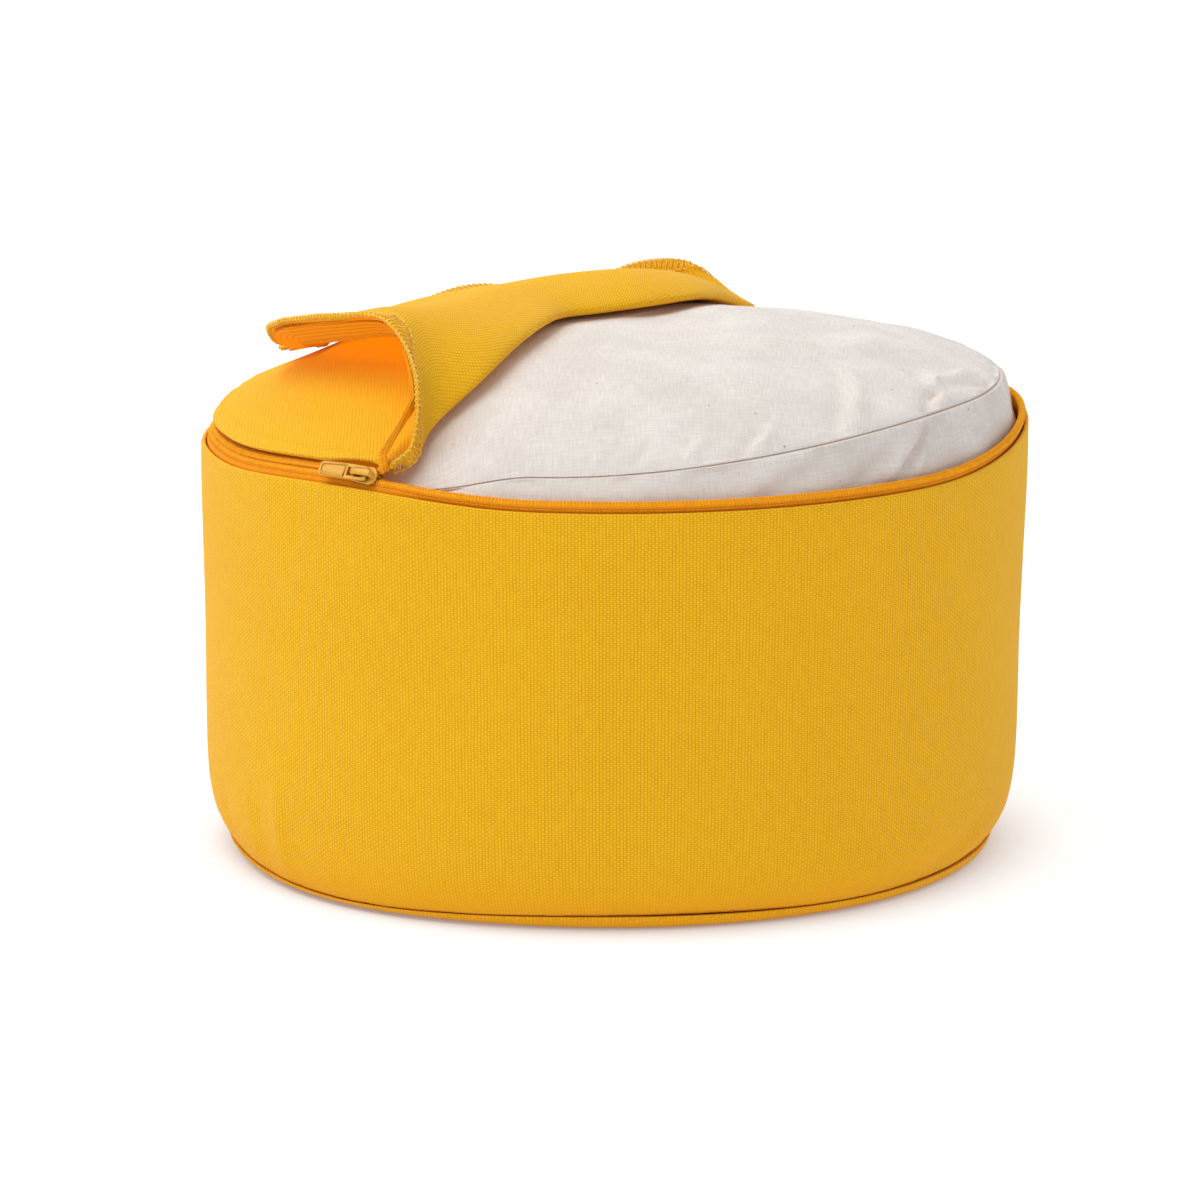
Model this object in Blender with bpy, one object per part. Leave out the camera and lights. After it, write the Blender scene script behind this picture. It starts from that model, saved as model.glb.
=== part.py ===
"""Round floor cushion: a filled calico inner in a zipped canvas cover whose top panel is peeled back.

Run with: blender --background --python part.py. Every size below is in millimetres, and the meshes
are made in metres with +Z up. A bearing is an angle in degrees about the cushion's axis, seen from
above: 0 is +X and 90 is +Y. The zip's slider is at the front left, at SLIDER_BEARING.
"""

import math

import bmesh
import bpy
from mathutils import Vector

MM = 0.001
UP = Vector((0.0, 0.0, 1.0))

# Driving sizes of the cover
RIM_RADIUS = 165.0
RIM_HEIGHT = 164.5
PANEL_RADIUS = 160.0
ZIP_BAND = 8.2
BASE_SEAM_HEIGHT = 6.0
FLAT_RADIUS = 137.0
CANVAS = 1.6
GAP = 0.4

# The coil zip: closed from its end round the left to the slider, open from there round the right
SLIDER_BEARING = -122.0
SLIDER_MIDDLE = -125.7
END_BEARING = 60.0
CLOSED_SWEEP = 360.0 - (END_BEARING - SLIDER_BEARING)
ZIP_LEAN = 32.0
TAPE = 1.0
TAPE_WIDTH = 10.5
TAPE_RADIUS = 162.6
COIL_RADIUS = 1.5
LOWER_COIL_RISE = 2.8
UPPER_COIL_RISE = LOWER_COIL_RISE + 2.0 * COIL_RADIUS + GAP

# The filled calico inner
INNER_SEAM_RADIUS = 154.0
INNER_SIDE_RADIUS = 161.0
CROWN_HEIGHT = 211.0
CROWN_POWER = 3.2
PANEL_OVER_CROWN = 2.2

# Mesh fineness
ROUND_STEPS = 72
PANEL_STEPS = 46
LYING_STEPS = 10
TURN_STEPS = 4
TAPE_STEPS = 78
CLOSED_STEPS = 36

# Where the rim stands above RIM_HEIGHT: pulled up by the closed zip, and free on the open side
RIM_RISES = (
    # bearing, half width, rise
    (-130.0, 30.0, 3.6),
    (8.0, 52.0, 9.5),
)

# How the top panel is peeled back: one row for each section across its free part, from the slider to
# the zip's end. The sheet leaves the crown at the fold, turns up at the side, turns over at the top and
# comes back to the free edge. bulge rounds it between side and top, and sag lowers the part behind.
PEEL = (
    # at, fold_x, fold_y, side_x, side_y, side_z, bulge, top_x, top_y, top_z, edge_x, edge_y, edge_z, sag
    (0.022, -84.0, -130.0, -76.5, -129.5, 177.8, 6.0, -86.0, -87.0, 226.0, -133.0, -30.0, 215.0, 0.0),
    (0.08, -77.0, -115.0, -69.5, -115.0, 189.5, 5.5, -81.0, -74.0, 226.5, -137.5, -16.0, 211.0, 0.0),
    (0.18, -62.0, -92.0, -49.5, -92.0, 205.5, 4.0, -73.0, -56.0, 225.0, -138.0, 0.0, 205.0, 0.0),
    (0.28, -50.0, -64.0, -37.5, -66.0, 213.0, 3.5, -64.0, -34.0, 224.0, -136.0, 12.0, 200.0, 0.0),
    (0.38, -41.0, -34.0, -27.5, -38.0, 216.0, 3.0, -53.0, -12.0, 224.0, -131.5, 22.0, 197.0, 0.0),
    (0.48, -32.0, -6.0, -20.0, -13.0, 215.0, 3.0, -38.0, 9.0, 224.5, -135.0, 33.0, 193.5, 0.0),
    (0.58, -15.0, 12.0, -5.0, 0.0, 214.8, 3.0, -22.0, 26.0, 224.5, -122.0, 53.0, 191.0, -1.0),
    (0.68, 5.0, 29.0, 14.0, 15.0, 215.0, 3.0, 0.0, 42.0, 224.0, -100.0, 80.0, 194.0, -2.0),
    (0.79, 28.0, 56.0, 35.0, 43.0, 213.5, 2.5, 20.0, 66.0, 219.5, -78.0, 99.0, 203.0, -3.0),
    (0.88, 43.0, 88.0, 46.0, 80.0, 206.6, 2.0, 36.0, 96.0, 210.5, -58.0, 110.0, 207.0, -4.0),
    (0.95, 60.0, 114.0, 58.0, 112.0, 197.6, 0.5, 48.0, 119.0, 201.0, -30.0, 120.0, 204.0, -6.0),
)
# The free edge at either end of those rows: side and bulge, top, behind, and the last corner
MOUTH = (-77.0, -130.0, 184.5, 6.5), (-88.0, -91.0, 225.5), (-110.0, -66.0, 223.5), (-131.0, -34.0, 216.5)
REAR = (50.0, 139.0, 196.5, 1.0), (29.0, 134.0, 213.5), (9.0, 131.0, 213.5), (-10.0, 127.0, 206.0)
FLAP_CLEARANCE = 4.6

# How the upper tape hangs on the free edge: at 0 it lies on the inner face and at 90 it stands off it.
# width is from the seam to the coil, less where the slider gathers it.
TAPE_TURNS = (
    # at, turn, width
    (0.00, 85.0, 3.0),
    (0.04, 60.0, 3.4),
    (0.07, 22.0, 6.6),
    (0.11, 8.0, 10.5),
    (0.70, 6.0, 10.5),
    (0.76, 14.0, 6.6),
    (0.80, 36.0, 8.0),
    (0.90, 40.0, 9.0),
    (0.95, 52.0, 6.0),
    (1.00, 70.0, 3.5),
)

# The upper coil leaves the slider round the outside of the panel's corner: its place, and where its
# strip points from there
SLIDER_EXIT = (
    # bearing, radius, above the rim, outwards, along, up
    (-124.3, 158.6, 6.7, -1.0, 0.0, 0.3),
    (-123.1, 160.4, 8.1, -0.5, 0.9, 0.0),
    (-122.8, 162.4, 10.5, 0.0, 1.0, 0.0),
    (-123.2, 161.0, 14.2, 0.2, 1.0, 0.0),
)
EXIT_STRIP = 2.4

# The slider and its puller, in the zip's own directions: along the chain towards its open end, rise
# from one coil to the other, and across it outwards. All are from the middle of the closed chain.
PLATE_OUTER = (1.9, 3.1)
PLATE_INNER = (-3.1, -1.9)
SLIDER_OUTLINE = ((-6.6, -2.2), (-5.6, -2.9), (2.6, -3.6), (4.4, -3.0), (5.6, -1.6), (5.6, 1.6), (4.4, 3.0), (2.6, 3.6))
SLIDER_OUTLINE += ((-5.6, 2.9), (-6.6, 2.2))
PULLER_OUTLINE = ((-20.6, -2.0), (-19.4, -2.8), (-7.0, -3.1), (1.0, -2.9), (2.2, -2.2), (2.2, 2.2), (1.0, 2.9))
PULLER_OUTLINE += ((-7.0, 3.1), (-19.4, 2.8), (-20.6, 2.0))
PULLER_FACES = (3.5, 4.9)
BRIDGE_HALF_LENGTH = 4.4
BRIDGE_HALF_WIDTH = 1.2
BRIDGE_TOP = 6.4


# ---------------------------------------------------------------- curves and shapes of the cushion


def smooth(value, start, end):
    """0 before start, 1 after end, and an even S between them."""
    share = min(max((value - start) / (end - start), 0.0), 1.0)
    return share * share * (3.0 - 2.0 * share)


def wrapped(bearing):
    return (bearing + 180.0) % 360.0 - 180.0


def bump(bearing, centre, half_width):
    away = abs(wrapped(bearing - centre))
    return 0.5 + 0.5 * math.cos(math.pi * min(away / half_width, 1.0))


def polar(radius, bearing, height):
    angle = math.radians(bearing)
    return Vector((radius * math.cos(angle), radius * math.sin(angle), height))


def closed_share(bearing):
    """1 where the zip is closed, 0 where it is open."""
    from_slider = (SLIDER_BEARING - bearing) % 360.0
    if from_slider > 180.0 + CLOSED_SWEEP / 2.0:
        from_slider -= 360.0
    return smooth(from_slider, -9.0, 3.0) * (1.0 - smooth(from_slider, CLOSED_SWEEP - 3.0, CLOSED_SWEEP + 9.0))


def rim_height(bearing):
    return RIM_HEIGHT + sum(rise * bump(bearing, centre, width) for centre, width, rise in RIM_RISES)


def settled(bearing):
    """How far the base seam has settled outwards and towards the floor, from 0 to 1."""
    return bump(bearing, -132.0, 42.0) + 0.4 * bump(bearing, -50.0, 40.0)


def base_seam_height(bearing):
    return BASE_SEAM_HEIGHT - 2.4 * settled(bearing)


def wall_radius(height, bearing):
    """Outer face of the side wall: nearly upright, rounded in towards the base seam."""
    share = height / RIM_HEIGHT
    slump = 2.4 * max(1.0 - share, 0.0) ** 1.5
    turned_in = (9.5 - 5.5 * settled(bearing)) * math.exp(-(height - BASE_SEAM_HEIGHT) / 9.0)
    lean = -2.0 * (1.0 - share) * math.cos(math.radians(bearing))
    return RIM_RADIUS - slump - turned_in + lean


def zip_band(bearing):
    """How far the top panel's edge stands above the rim: the slider lifts it."""
    return ZIP_BAND + 2.4 * bump(bearing, SLIDER_BEARING - 3.0, 10.0)


def inner_seam_height(bearing):
    """Height of the seam round the top of the calico: low under the closed cover, high where it is free."""
    turn = wrapped(bearing)
    front = 7.5 * smooth(turn, -119.0, -101.0) + 14.5 * smooth(turn, -104.0, -28.0)
    return 168.0 + front * (1.0 - smooth(turn, 24.0, 70.0))


def crown(x, y):
    """Top of the calico."""
    radius = math.hypot(x, y)
    seam = inner_seam_height(math.degrees(math.atan2(y, x)))
    return seam + (CROWN_HEIGHT - seam) * (1.0 - (radius / INNER_SEAM_RADIUS) ** CROWN_POWER)


def lying_panel(x, y):
    """Middle of the top panel's thickness where it still lies on the crown."""
    radius = math.hypot(x, y)
    bearing = math.degrees(math.atan2(y, x))
    shoulder = 13.0 * max((radius - 115.0) / 46.0, 0.0) ** 2 * closed_share(bearing)
    at_edge = crown(*polar(PANEL_RADIUS, bearing, 0.0).xy) + PANEL_OVER_CROWN
    at_edge += 13.0 * ((PANEL_RADIUS - 115.0) / 46.0) ** 2
    drop = at_edge - rim_height(bearing) - zip_band(bearing)
    corner = drop * max((radius - 150.0) / (PANEL_RADIUS - 150.0), 0.0) ** 2 * closed_share(bearing)
    return crown(x, y) + PANEL_OVER_CROWN + shoulder - corner


def panel_seam(share):
    """Where the top panel is still zipped on: from the slider round the left to the zip's end."""
    bearing = SLIDER_BEARING - CLOSED_SWEEP * share
    return polar(PANEL_RADIUS, bearing, rim_height(bearing) + zip_band(bearing))


def through(stations, place):
    """Values at place on a smooth curve through rows of (station, value, value, ...)."""
    last = len(stations) - 2
    index = next((i for i in range(last) if place < stations[i + 1][0]), last)
    before, start, end, after = (stations[min(max(index + k, 0), last + 1)] for k in (-1, 0, 1, 2))
    span = end[0] - start[0]
    share = (place - start[0]) / span
    values = []
    for low, a, b, high in zip(before[1:], start[1:], end[1:], after[1:]):
        leave = (b - low) / (end[0] - before[0]) * span
        arrive = (high - a) / (after[0] - start[0]) * span
        values.append(
            a * (1 + 2 * share) * (1 - share) ** 2
            + leave * share * (1 - share) ** 2
            + b * share**2 * (3 - 2 * share)
            + arrive * share**2 * (share - 1)
        )
    return values


def curve_through(points, steps):
    """Points on a smooth curve through the given ones, with the same number of steps between each two."""
    stations = [(0.0, *points[0])]
    for previous, point in zip(points, points[1:]):
        stations.append((stations[-1][0] + max((point - previous).length, 1e-4), *point))
    found = [points[0].copy()]
    for start, end in zip(stations, stations[1:]):
        for step in range(1, steps + 1):
            found.append(Vector(through(stations, start[0] + (end[0] - start[0]) * step / steps)))
    return found


def lying_section(share):
    """Points over the crown from the zipped seam to the fold."""
    seam = panel_seam(share)
    ends = [(at, *panel_seam(at).xy) for at in (0.0, 1.0)]
    fold_x, fold_y = through((ends[0], *(row[:3] for row in PEEL), ends[1]), share)
    points = []
    for step in range(LYING_STEPS + 1):
        part = step / LYING_STEPS
        x = seam.x + (fold_x - seam.x) * part
        y = seam.y + (fold_y - seam.y) * part
        points.append(Vector((x, y, lying_panel(x, y))))
    return points


def kept_clear(point):
    """The point, eased up to where the flap clears the lying part of the panel."""
    floor = lying_panel(point.x, point.y) + CANVAS + FLAP_CLEARANCE
    clear = point.z - floor
    if clear < 3.0:
        clear = 3.0 * math.exp(clear / 3.0 - 1.0)
    return Vector((point.x, point.y, floor + clear))


def free_section(share):
    """Points from the fold over the turn to the free edge. At 0 and 1 they are the free edge itself."""
    ends = []
    for at, (side, top, _, edge) in ((0.0, MOUTH), (1.0, REAR)):
        ends.append((at, *side, *top, *edge, 0.0))
    rows = (ends[0], *((row[0], *row[3:]) for row in PEEL), ends[1])
    values = through(rows, share)
    side, top, edge = (Vector(values[first : first + 3]) for first in (0, 4, 7))
    brow = side.lerp(top, 0.5) + Vector((1.0, -0.6, 0.6)) * values[3]
    start, behind = lying_section(share)[-1], top.lerp(edge, 0.55) + UP * values[10]
    if share in (0.0, 1.0):
        start, behind = panel_seam(share), Vector((MOUTH if share == 0.0 else REAR)[2])
    points = curve_through([start, side, brow, top, behind, edge], TURN_STEPS)
    return points[: 3 * TURN_STEPS] + [kept_clear(point) for point in points[3 * TURN_STEPS :]]


# ---------------------------------------------------------------- meshes and materials


def material(name, colour, roughness, metallic=0.0):
    made = bpy.data.materials.new(name)
    made.use_nodes = True
    surface = made.node_tree.nodes["Principled BSDF"]
    surface.inputs["Base Color"].default_value = (*colour, 1.0)
    surface.inputs["Roughness"].default_value = roughness
    surface.inputs["Metallic"].default_value = metallic
    made.diffuse_color = (*colour, 1.0)
    return made


def add_object(name, bm, finish):
    bmesh.ops.scale(bm, vec=(MM, MM, MM), verts=bm.verts)
    mesh = bpy.data.meshes.new(name)
    bm.to_mesh(mesh)
    bm.free()
    mesh.materials.append(finish)
    mesh.shade_smooth()
    mesh.set_sharp_from_angle(angle=math.radians(50.0))
    made = bpy.data.objects.new(name, mesh)
    bpy.context.scene.collection.objects.link(made)
    return made


def thicken(made, thickness, offset):
    solid = made.modifiers.new("Thickness", "SOLIDIFY")
    solid.thickness = thickness * MM
    solid.offset = offset
    return solid


def add_rings(bm, rings, start_point=None, end_point=None):
    """Faces between closed rings of points, with a fan to a point at either end."""
    rows = [[bm.verts.new(point) for point in ring] for ring in rings]
    for lower, upper in zip(rows, rows[1:]):
        for i in range(len(lower)):
            j = (i + 1) % len(lower)
            bm.faces.new((lower[i], lower[j], upper[j], upper[i]))
    for point, row, flip in ((start_point, rows[0], True), (end_point, rows[-1], False)):
        if point is None:
            continue
        tip = bm.verts.new(point)
        for i in range(len(row)):
            j = (i + 1) % len(row)
            bm.faces.new((row[j], row[i], tip) if flip else (row[i], row[j], tip))


def round_ring(radius_at, height_at):
    """A ring of points whose radius and height follow the bearing."""
    bearings = [360.0 * i / ROUND_STEPS for i in range(ROUND_STEPS)]
    return [polar(radius_at(bearing), bearing, height_at(bearing)) for bearing in bearings]


# ---------------------------------------------------------------- the pieces


def make_side_wall(canvas):
    rings = []
    for share in (0.0, 0.015, 0.04, 0.08, 0.14, 0.24, 0.42, 0.62, 0.82, 0.94, 1.0):

        def height_at(bearing, share=share):
            return base_seam_height(bearing) * (1.0 - share) + rim_height(bearing) * share

        rings.append(round_ring(lambda bearing, h=height_at: wall_radius(h(bearing), bearing), height_at))
    bm = bmesh.new()
    add_rings(bm, rings)
    thicken(add_object("side_wall", bm, canvas), CANVAS, -1.0)


def base_edge(bearing):
    return wall_radius(BASE_SEAM_HEIGHT, bearing) - CANVAS - GAP


def make_base_panel(canvas):
    rings = [round_ring(lambda bearing: radius, lambda bearing: 0.0) for radius in (70.0, FLAT_RADIUS)]
    for share, height in ((0.45, 0.7), (0.78, 2.0), (1.0, 3.9)):
        rings.append(
            round_ring(
                lambda bearing, s=share: FLAT_RADIUS + (base_edge(bearing) - FLAT_RADIUS) * s,
                lambda bearing, h=height: h * (1.0 - 0.6 * settled(bearing)),
            )
        )
    bm = bmesh.new()
    add_rings(bm, rings, start_point=Vector((0.0, 0.0, 0.0)))
    thicken(add_object("base_panel", bm, canvas), CANVAS, -1.0)


def make_inner_cushion(calico):
    """One filled solid: flat where it rests, upright in the cover, a seamed band, and the crown."""
    bottom = CANVAS + GAP
    rings = [round_ring(lambda bearing, r=radius: r, lambda bearing: bottom) for radius in (70.0, FLAT_RADIUS)]
    rings.append(round_ring(lambda bearing: base_edge(bearing) - 5.0, lambda bearing: bottom + 2.6))
    for height in (10.0, 15.0, 24.0, 45.0, 100.0):
        rings.append(
            round_ring(
                lambda bearing, h=height: wall_radius(h, bearing) - CANVAS - 2.0 * GAP, lambda bearing, h=height: h
            )
        )

    def side(bearing):
        return INNER_SIDE_RADIUS - 1.5 * closed_share(bearing)

    def neck(bearing):
        return 160.2 - 4.2 * closed_share(bearing)

    rings.append(round_ring(side, lambda bearing: rim_height(bearing) - 10.0))
    rings.append(round_ring(neck, lambda bearing: rim_height(bearing) - 1.5))
    for share, swell in ((0.4, 0.9), (0.75, 0.8), (0.97, 0.3)):
        rings.append(
            round_ring(
                lambda bearing, s=share, w=swell: neck(bearing) + (INNER_SEAM_RADIUS - neck(bearing)) * s + w,
                lambda bearing, s=share: rim_height(bearing)
                - 1.5
                + (inner_seam_height(bearing) - rim_height(bearing) + 1.5) * s,
            )
        )
    rings.append(round_ring(lambda bearing: INNER_SEAM_RADIUS - 1.2, lambda bearing: inner_seam_height(bearing) - 0.2))
    for share in (0.985, 0.95, 0.88, 0.78, 0.65, 0.5, 0.33, 0.16):
        radius = INNER_SEAM_RADIUS * share
        rings.append(
            round_ring(lambda bearing, r=radius: r, lambda bearing, r=radius: crown(*polar(r, bearing, 0.0).xy))
        )
    bm = bmesh.new()
    add_rings(bm, rings, Vector((0.0, 0.0, bottom)), Vector((0.0, 0.0, crown(0.0, 0.0))))
    add_object("inner_cushion", bm, calico)


def make_top_panel(canvas):
    """One sheet: zipped on round the left, lying on the crown, then peeled up and folded back.

    Returns its free edge from the slider to the zip's end, as points with the sheet's normals there.
    """
    bm = bmesh.new()
    rows = []
    for step in range(PANEL_STEPS + 1):
        share = step / PANEL_STEPS
        free = [bm.verts.new(point) for point in free_section(share)]
        lying = [free[0]] * LYING_STEPS
        if 0 < step < PANEL_STEPS:
            lying = [bm.verts.new(point) for point in lying_section(share)[:-1]]
        rows.append(lying + free)
    for row, following in zip(rows, rows[1:]):
        for i in range(len(row) - 1):
            corners = list(dict.fromkeys((row[i], row[i + 1], following[i + 1], following[i])))
            bm.faces.new(corners)
    bm.normal_update()
    edge = rows[0][LYING_STEPS:] + [row[-1] for row in rows[1:-1]] + rows[-1][LYING_STEPS:][::-1]
    free_edge = [(corner.co.copy(), corner.normal.copy()) for corner in edge]
    thicken(add_object("top_panel", bm, canvas), CANVAS, 0.0)
    return free_edge


def zip_directions(bearing):
    """Along the closed zip, from its lower coil to its upper one, and across it outwards."""
    lean = math.radians(ZIP_LEAN)
    radial, along = polar(1.0, bearing, 0.0), polar(1.0, bearing + 90.0, 0.0)
    return along, UP * math.cos(lean) - radial * math.sin(lean), radial * math.cos(lean) + UP * math.sin(lean)


def zip_point(bearing, rise):
    """A point on the closed zip this far up from the rim."""
    return polar(TAPE_RADIUS, bearing, rim_height(bearing)) + zip_directions(bearing)[1] * rise


def tape_ring(coil, seam, across):
    """One section of half a zip: a coil at one end of a strip, whose other end is at the seam."""
    strip = (seam - coil).normalized()
    ring = [seam - across * (TAPE / 2.0), seam + across * (TAPE / 2.0)]
    for angle in map(math.radians, (50.0, 110.0, 180.0, 250.0, 310.0)):
        ring.append(coil + (strip * math.cos(angle) + across * math.sin(angle)) * COIL_RADIUS)
    return ring


def make_lower_tape(tape_finish):
    """The half of the zip on the side wall, all the way round: its coil is up, its tape inside the wall."""
    rings = []
    for step in range(TAPE_STEPS):
        bearing = 360.0 * step / TAPE_STEPS
        closed = closed_share(bearing)
        bend = polar(TAPE_RADIUS, bearing, rim_height(bearing))
        coil = bend.lerp(zip_point(bearing, LOWER_COIL_RISE), closed) + UP * (LOWER_COIL_RISE * (1.0 - closed))
        across = polar(1.0, bearing, 0.0)
        outer, inner = bend + across * (TAPE / 2.0), bend - across * (TAPE / 2.0)
        deep = UP * (TAPE_WIDTH - LOWER_COIL_RISE)
        ring = tape_ring(coil, bend, (bend - coil).cross(polar(1.0, bearing - 90.0, 0.0)).normalized())
        rings.append([outer - deep, inner - deep, inner, *ring[2:], outer])
    bm = bmesh.new()
    add_rings(bm, rings + rings[:1])
    bmesh.ops.remove_doubles(bm, verts=bm.verts, dist=1e-4)
    add_object("zip_tape_lower", bm, tape_finish)


def closed_tape_rings():
    """Sections of the upper tape where the zip is closed, from its end to the slider."""
    rings = []
    for step in range(CLOSED_STEPS):
        bearing = SLIDER_BEARING - CLOSED_SWEEP * (0.985 - 0.963 * step / (CLOSED_STEPS - 1))
        coil = zip_point(bearing, UPPER_COIL_RISE)
        seam = polar(PANEL_RADIUS - 10.0, bearing, 0.0)
        seam.z = lying_panel(seam.x, seam.y) - CANVAS / 2.0 - TAPE / 2.0 - 2.2
        rings.append(tape_ring(coil, seam, (seam - coil).cross(polar(1.0, bearing - 90.0, 0.0)).normalized()))
    return rings


def exit_tape_rings():
    """Sections where the upper tape comes out of the slider."""
    places, strips = [], []
    for bearing, radius, rise, outwards, along, up in SLIDER_EXIT:
        places.append(polar(radius, bearing, rim_height(bearing) + rise))
        strip = polar(outwards, bearing, up) + polar(along, bearing + 90.0, 0.0)
        strips.append(strip.normalized())
    rings = []
    for index, (place, strip) in enumerate(zip(places, strips)):
        onward = places[min(index + 1, len(places) - 1)] - places[max(index - 1, 0)]
        across = onward.cross(strip).normalized()
        rings.append(tape_ring(place, place + strip * EXIT_STRIP, across))
    return rings


def open_tape_rings(free_edge):
    """Sections along the panel's free edge, on the side that faced out before the panel was peeled."""
    rings = []
    last = len(free_edge) - 1
    for index in range(5, last - TURN_STEPS - 6, 2):
        place, normal = free_edge[index]
        around = (free_edge[index + 1][0] - free_edge[index - 1][0]).normalized()
        inside = normal.cross(around).normalized()
        turn, width = through(TAPE_TURNS, index / last)
        seam = place + inside * 0.5 + normal * (CANVAS / 2.0 + TAPE / 2.0 + 2.0 * GAP)
        outward = inside * math.cos(math.radians(turn)) + normal * math.sin(math.radians(turn))
        rings.append(tape_ring(seam + outward * width, seam, outward.cross(around)))
    return rings


def make_upper_tape(tape_finish, free_edge):
    """The half of the zip on the top panel: closed round the left, then along the panel's free edge."""
    rings = closed_tape_rings() + exit_tape_rings() + open_tape_rings(free_edge)
    bm = bmesh.new()
    add_rings(bm, rings, sum(rings[0], Vector()) / len(rings[0]), sum(rings[-1], Vector()) / len(rings[-1]))
    add_object("zip_tape_upper", bm, tape_finish)


def add_prism(name, outline, faces, finish):
    """A plate on the zip at the slider: an outline along and up the chain, between two faces across it."""
    along, rise, across = zip_directions(SLIDER_MIDDLE)
    middle = zip_point(SLIDER_MIDDLE, (LOWER_COIL_RISE + UPPER_COIL_RISE) / 2.0)
    bm = bmesh.new()
    rows = []
    for face in faces:
        rows.append([bm.verts.new(middle + along * x + rise * y + across * face) for x, y in outline])
    bm.faces.new(rows[0][::-1])
    bm.faces.new(rows[1])
    for i in range(len(outline)):
        j = (i + 1) % len(outline)
        bm.faces.new((rows[0][i], rows[0][j], rows[1][j], rows[1][i]))
    return add_object(name, bm, finish)


def oblong(low_x, high_x, half_width):
    return ((low_x, -half_width), (high_x, -half_width), (high_x, half_width), (low_x, half_width))


def combine(base, helper, operation):
    """Adds the helper to the base or cuts it out, and hides it."""
    helper.hide_render = True
    helper.display_type = "WIRE"
    step = base.modifiers.new(helper.name, "BOOLEAN")
    step.operation = operation
    step.solver = "EXACT"
    step.object = helper


def make_slider(metal):
    """Two plates with the coils between them, joined at the open end, and a bridge for the puller."""
    slider = add_prism("zip_slider", SLIDER_OUTLINE, PLATE_OUTER, metal)
    inner = add_prism("slider_inner_plate", [(x, 0.75 * y) for x, y in SLIDER_OUTLINE], PLATE_INNER, metal)
    post = add_prism("slider_post", ((3.4, 0.3), (5.2, 0.3), (5.2, 1.3), (3.4, 1.3)), (-2.5, 2.5), metal)
    bar = add_prism(
        "slider_bridge", oblong(-BRIDGE_HALF_LENGTH, BRIDGE_HALF_LENGTH, BRIDGE_HALF_WIDTH), (2.5, BRIDGE_TOP), metal
    )
    opening = add_prism(
        "slider_bridge_opening",
        oblong(1.1 - BRIDGE_HALF_LENGTH, BRIDGE_HALF_LENGTH - 1.1, 2.0 * BRIDGE_HALF_WIDTH),
        (PLATE_OUTER[1], BRIDGE_TOP - 1.1),
        metal,
    )
    for helper, operation in ((inner, "UNION"), (post, "UNION"), (bar, "UNION"), (opening, "DIFFERENCE")):
        combine(slider, helper, operation)


def make_puller(metal):
    """A plate lying back along the closed zip, with its end bar under the slider's bridge."""
    puller = add_prism("zip_puller", PULLER_OUTLINE, PULLER_FACES, metal)
    hole = add_prism("puller_hole", oblong(-7.0, 0.4, BRIDGE_HALF_WIDTH + 0.5), (2.0, 7.0), metal)
    combine(puller, hole, "DIFFERENCE")


def main():
    for old in list(bpy.data.objects):
        bpy.data.objects.remove(old)
    canvas = material("yellow_canvas", (0.86, 0.50, 0.03), 0.85)
    calico = material("natural_calico", (0.78, 0.71, 0.65), 0.9)
    tape_finish = material("orange_tape", (0.88, 0.40, 0.02), 0.7)
    metal = material("ochre_metal", (0.62, 0.30, 0.05), 0.4, 0.6)
    make_side_wall(canvas)
    make_base_panel(canvas)
    make_inner_cushion(calico)
    free_edge = make_top_panel(canvas)
    make_lower_tape(tape_finish)
    make_upper_tape(tape_finish, free_edge)
    make_slider(metal)
    make_puller(metal)


if __name__ == "__main__":
    main()
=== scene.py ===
"""Round floor cushion: a filled calico inner in a zipped canvas cover whose top is peeled back and rolled.

Sizes in the tables and functions are in millimetres, and the meshes are made in metres with +Z up. A
bearing is an angle in degrees about the cushion's axis, seen from above: 0 is +X and 90 is +Y.
"""

import math

import bmesh
import bpy
from bpy.props import FloatProperty, FloatVectorProperty, PointerProperty
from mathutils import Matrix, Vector, noise


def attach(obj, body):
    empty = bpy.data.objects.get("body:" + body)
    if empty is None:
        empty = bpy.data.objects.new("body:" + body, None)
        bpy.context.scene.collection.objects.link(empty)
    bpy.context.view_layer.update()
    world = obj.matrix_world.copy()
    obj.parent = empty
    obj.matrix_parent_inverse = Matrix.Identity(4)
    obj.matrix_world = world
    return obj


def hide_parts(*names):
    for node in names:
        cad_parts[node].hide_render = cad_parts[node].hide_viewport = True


bl_info = {
    "name": "Floor cushion with a peeled cover",
    "version": (1, 0, 0),
    "blender": (4, 5, 0),
    "location": "3D View > Sidebar > Cushion",
    "description": "Makes the cover, the calico inner, the zip and their stitching",
    "category": "Object",
}

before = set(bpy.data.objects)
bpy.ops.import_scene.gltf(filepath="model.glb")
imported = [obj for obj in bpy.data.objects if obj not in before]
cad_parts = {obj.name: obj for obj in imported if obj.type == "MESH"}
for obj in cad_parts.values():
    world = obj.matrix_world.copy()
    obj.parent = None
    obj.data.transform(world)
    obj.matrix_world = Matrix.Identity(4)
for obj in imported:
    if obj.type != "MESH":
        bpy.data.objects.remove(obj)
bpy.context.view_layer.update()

MM = 0.001
UP = Vector((0.0, 0.0, 1.0))

# Driving sizes of the cover
RIM_RADIUS = 165.0
RIM_HEIGHT = 164.5
GIRTH = 2.0 * math.pi * RIM_RADIUS
PANEL_RADIUS = 160.0
ZIP_BAND = 8.2
BASE_SEAM_HEIGHT = 6.0
BASE_SEAM_GAP = 0.15
BASE_FLAT = 146.0
CANVAS = 1.6
GAP = 0.4

# How the side wall slumps, turns in to the base seam over a rise, less where it has settled, and leans
WALL_SLUMP = 2.4
TURN_IN = 9.5
TURN_IN_LOST = 5.5
TURN_IN_RISE = 9.0
WALL_LEAN = -2.0

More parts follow.
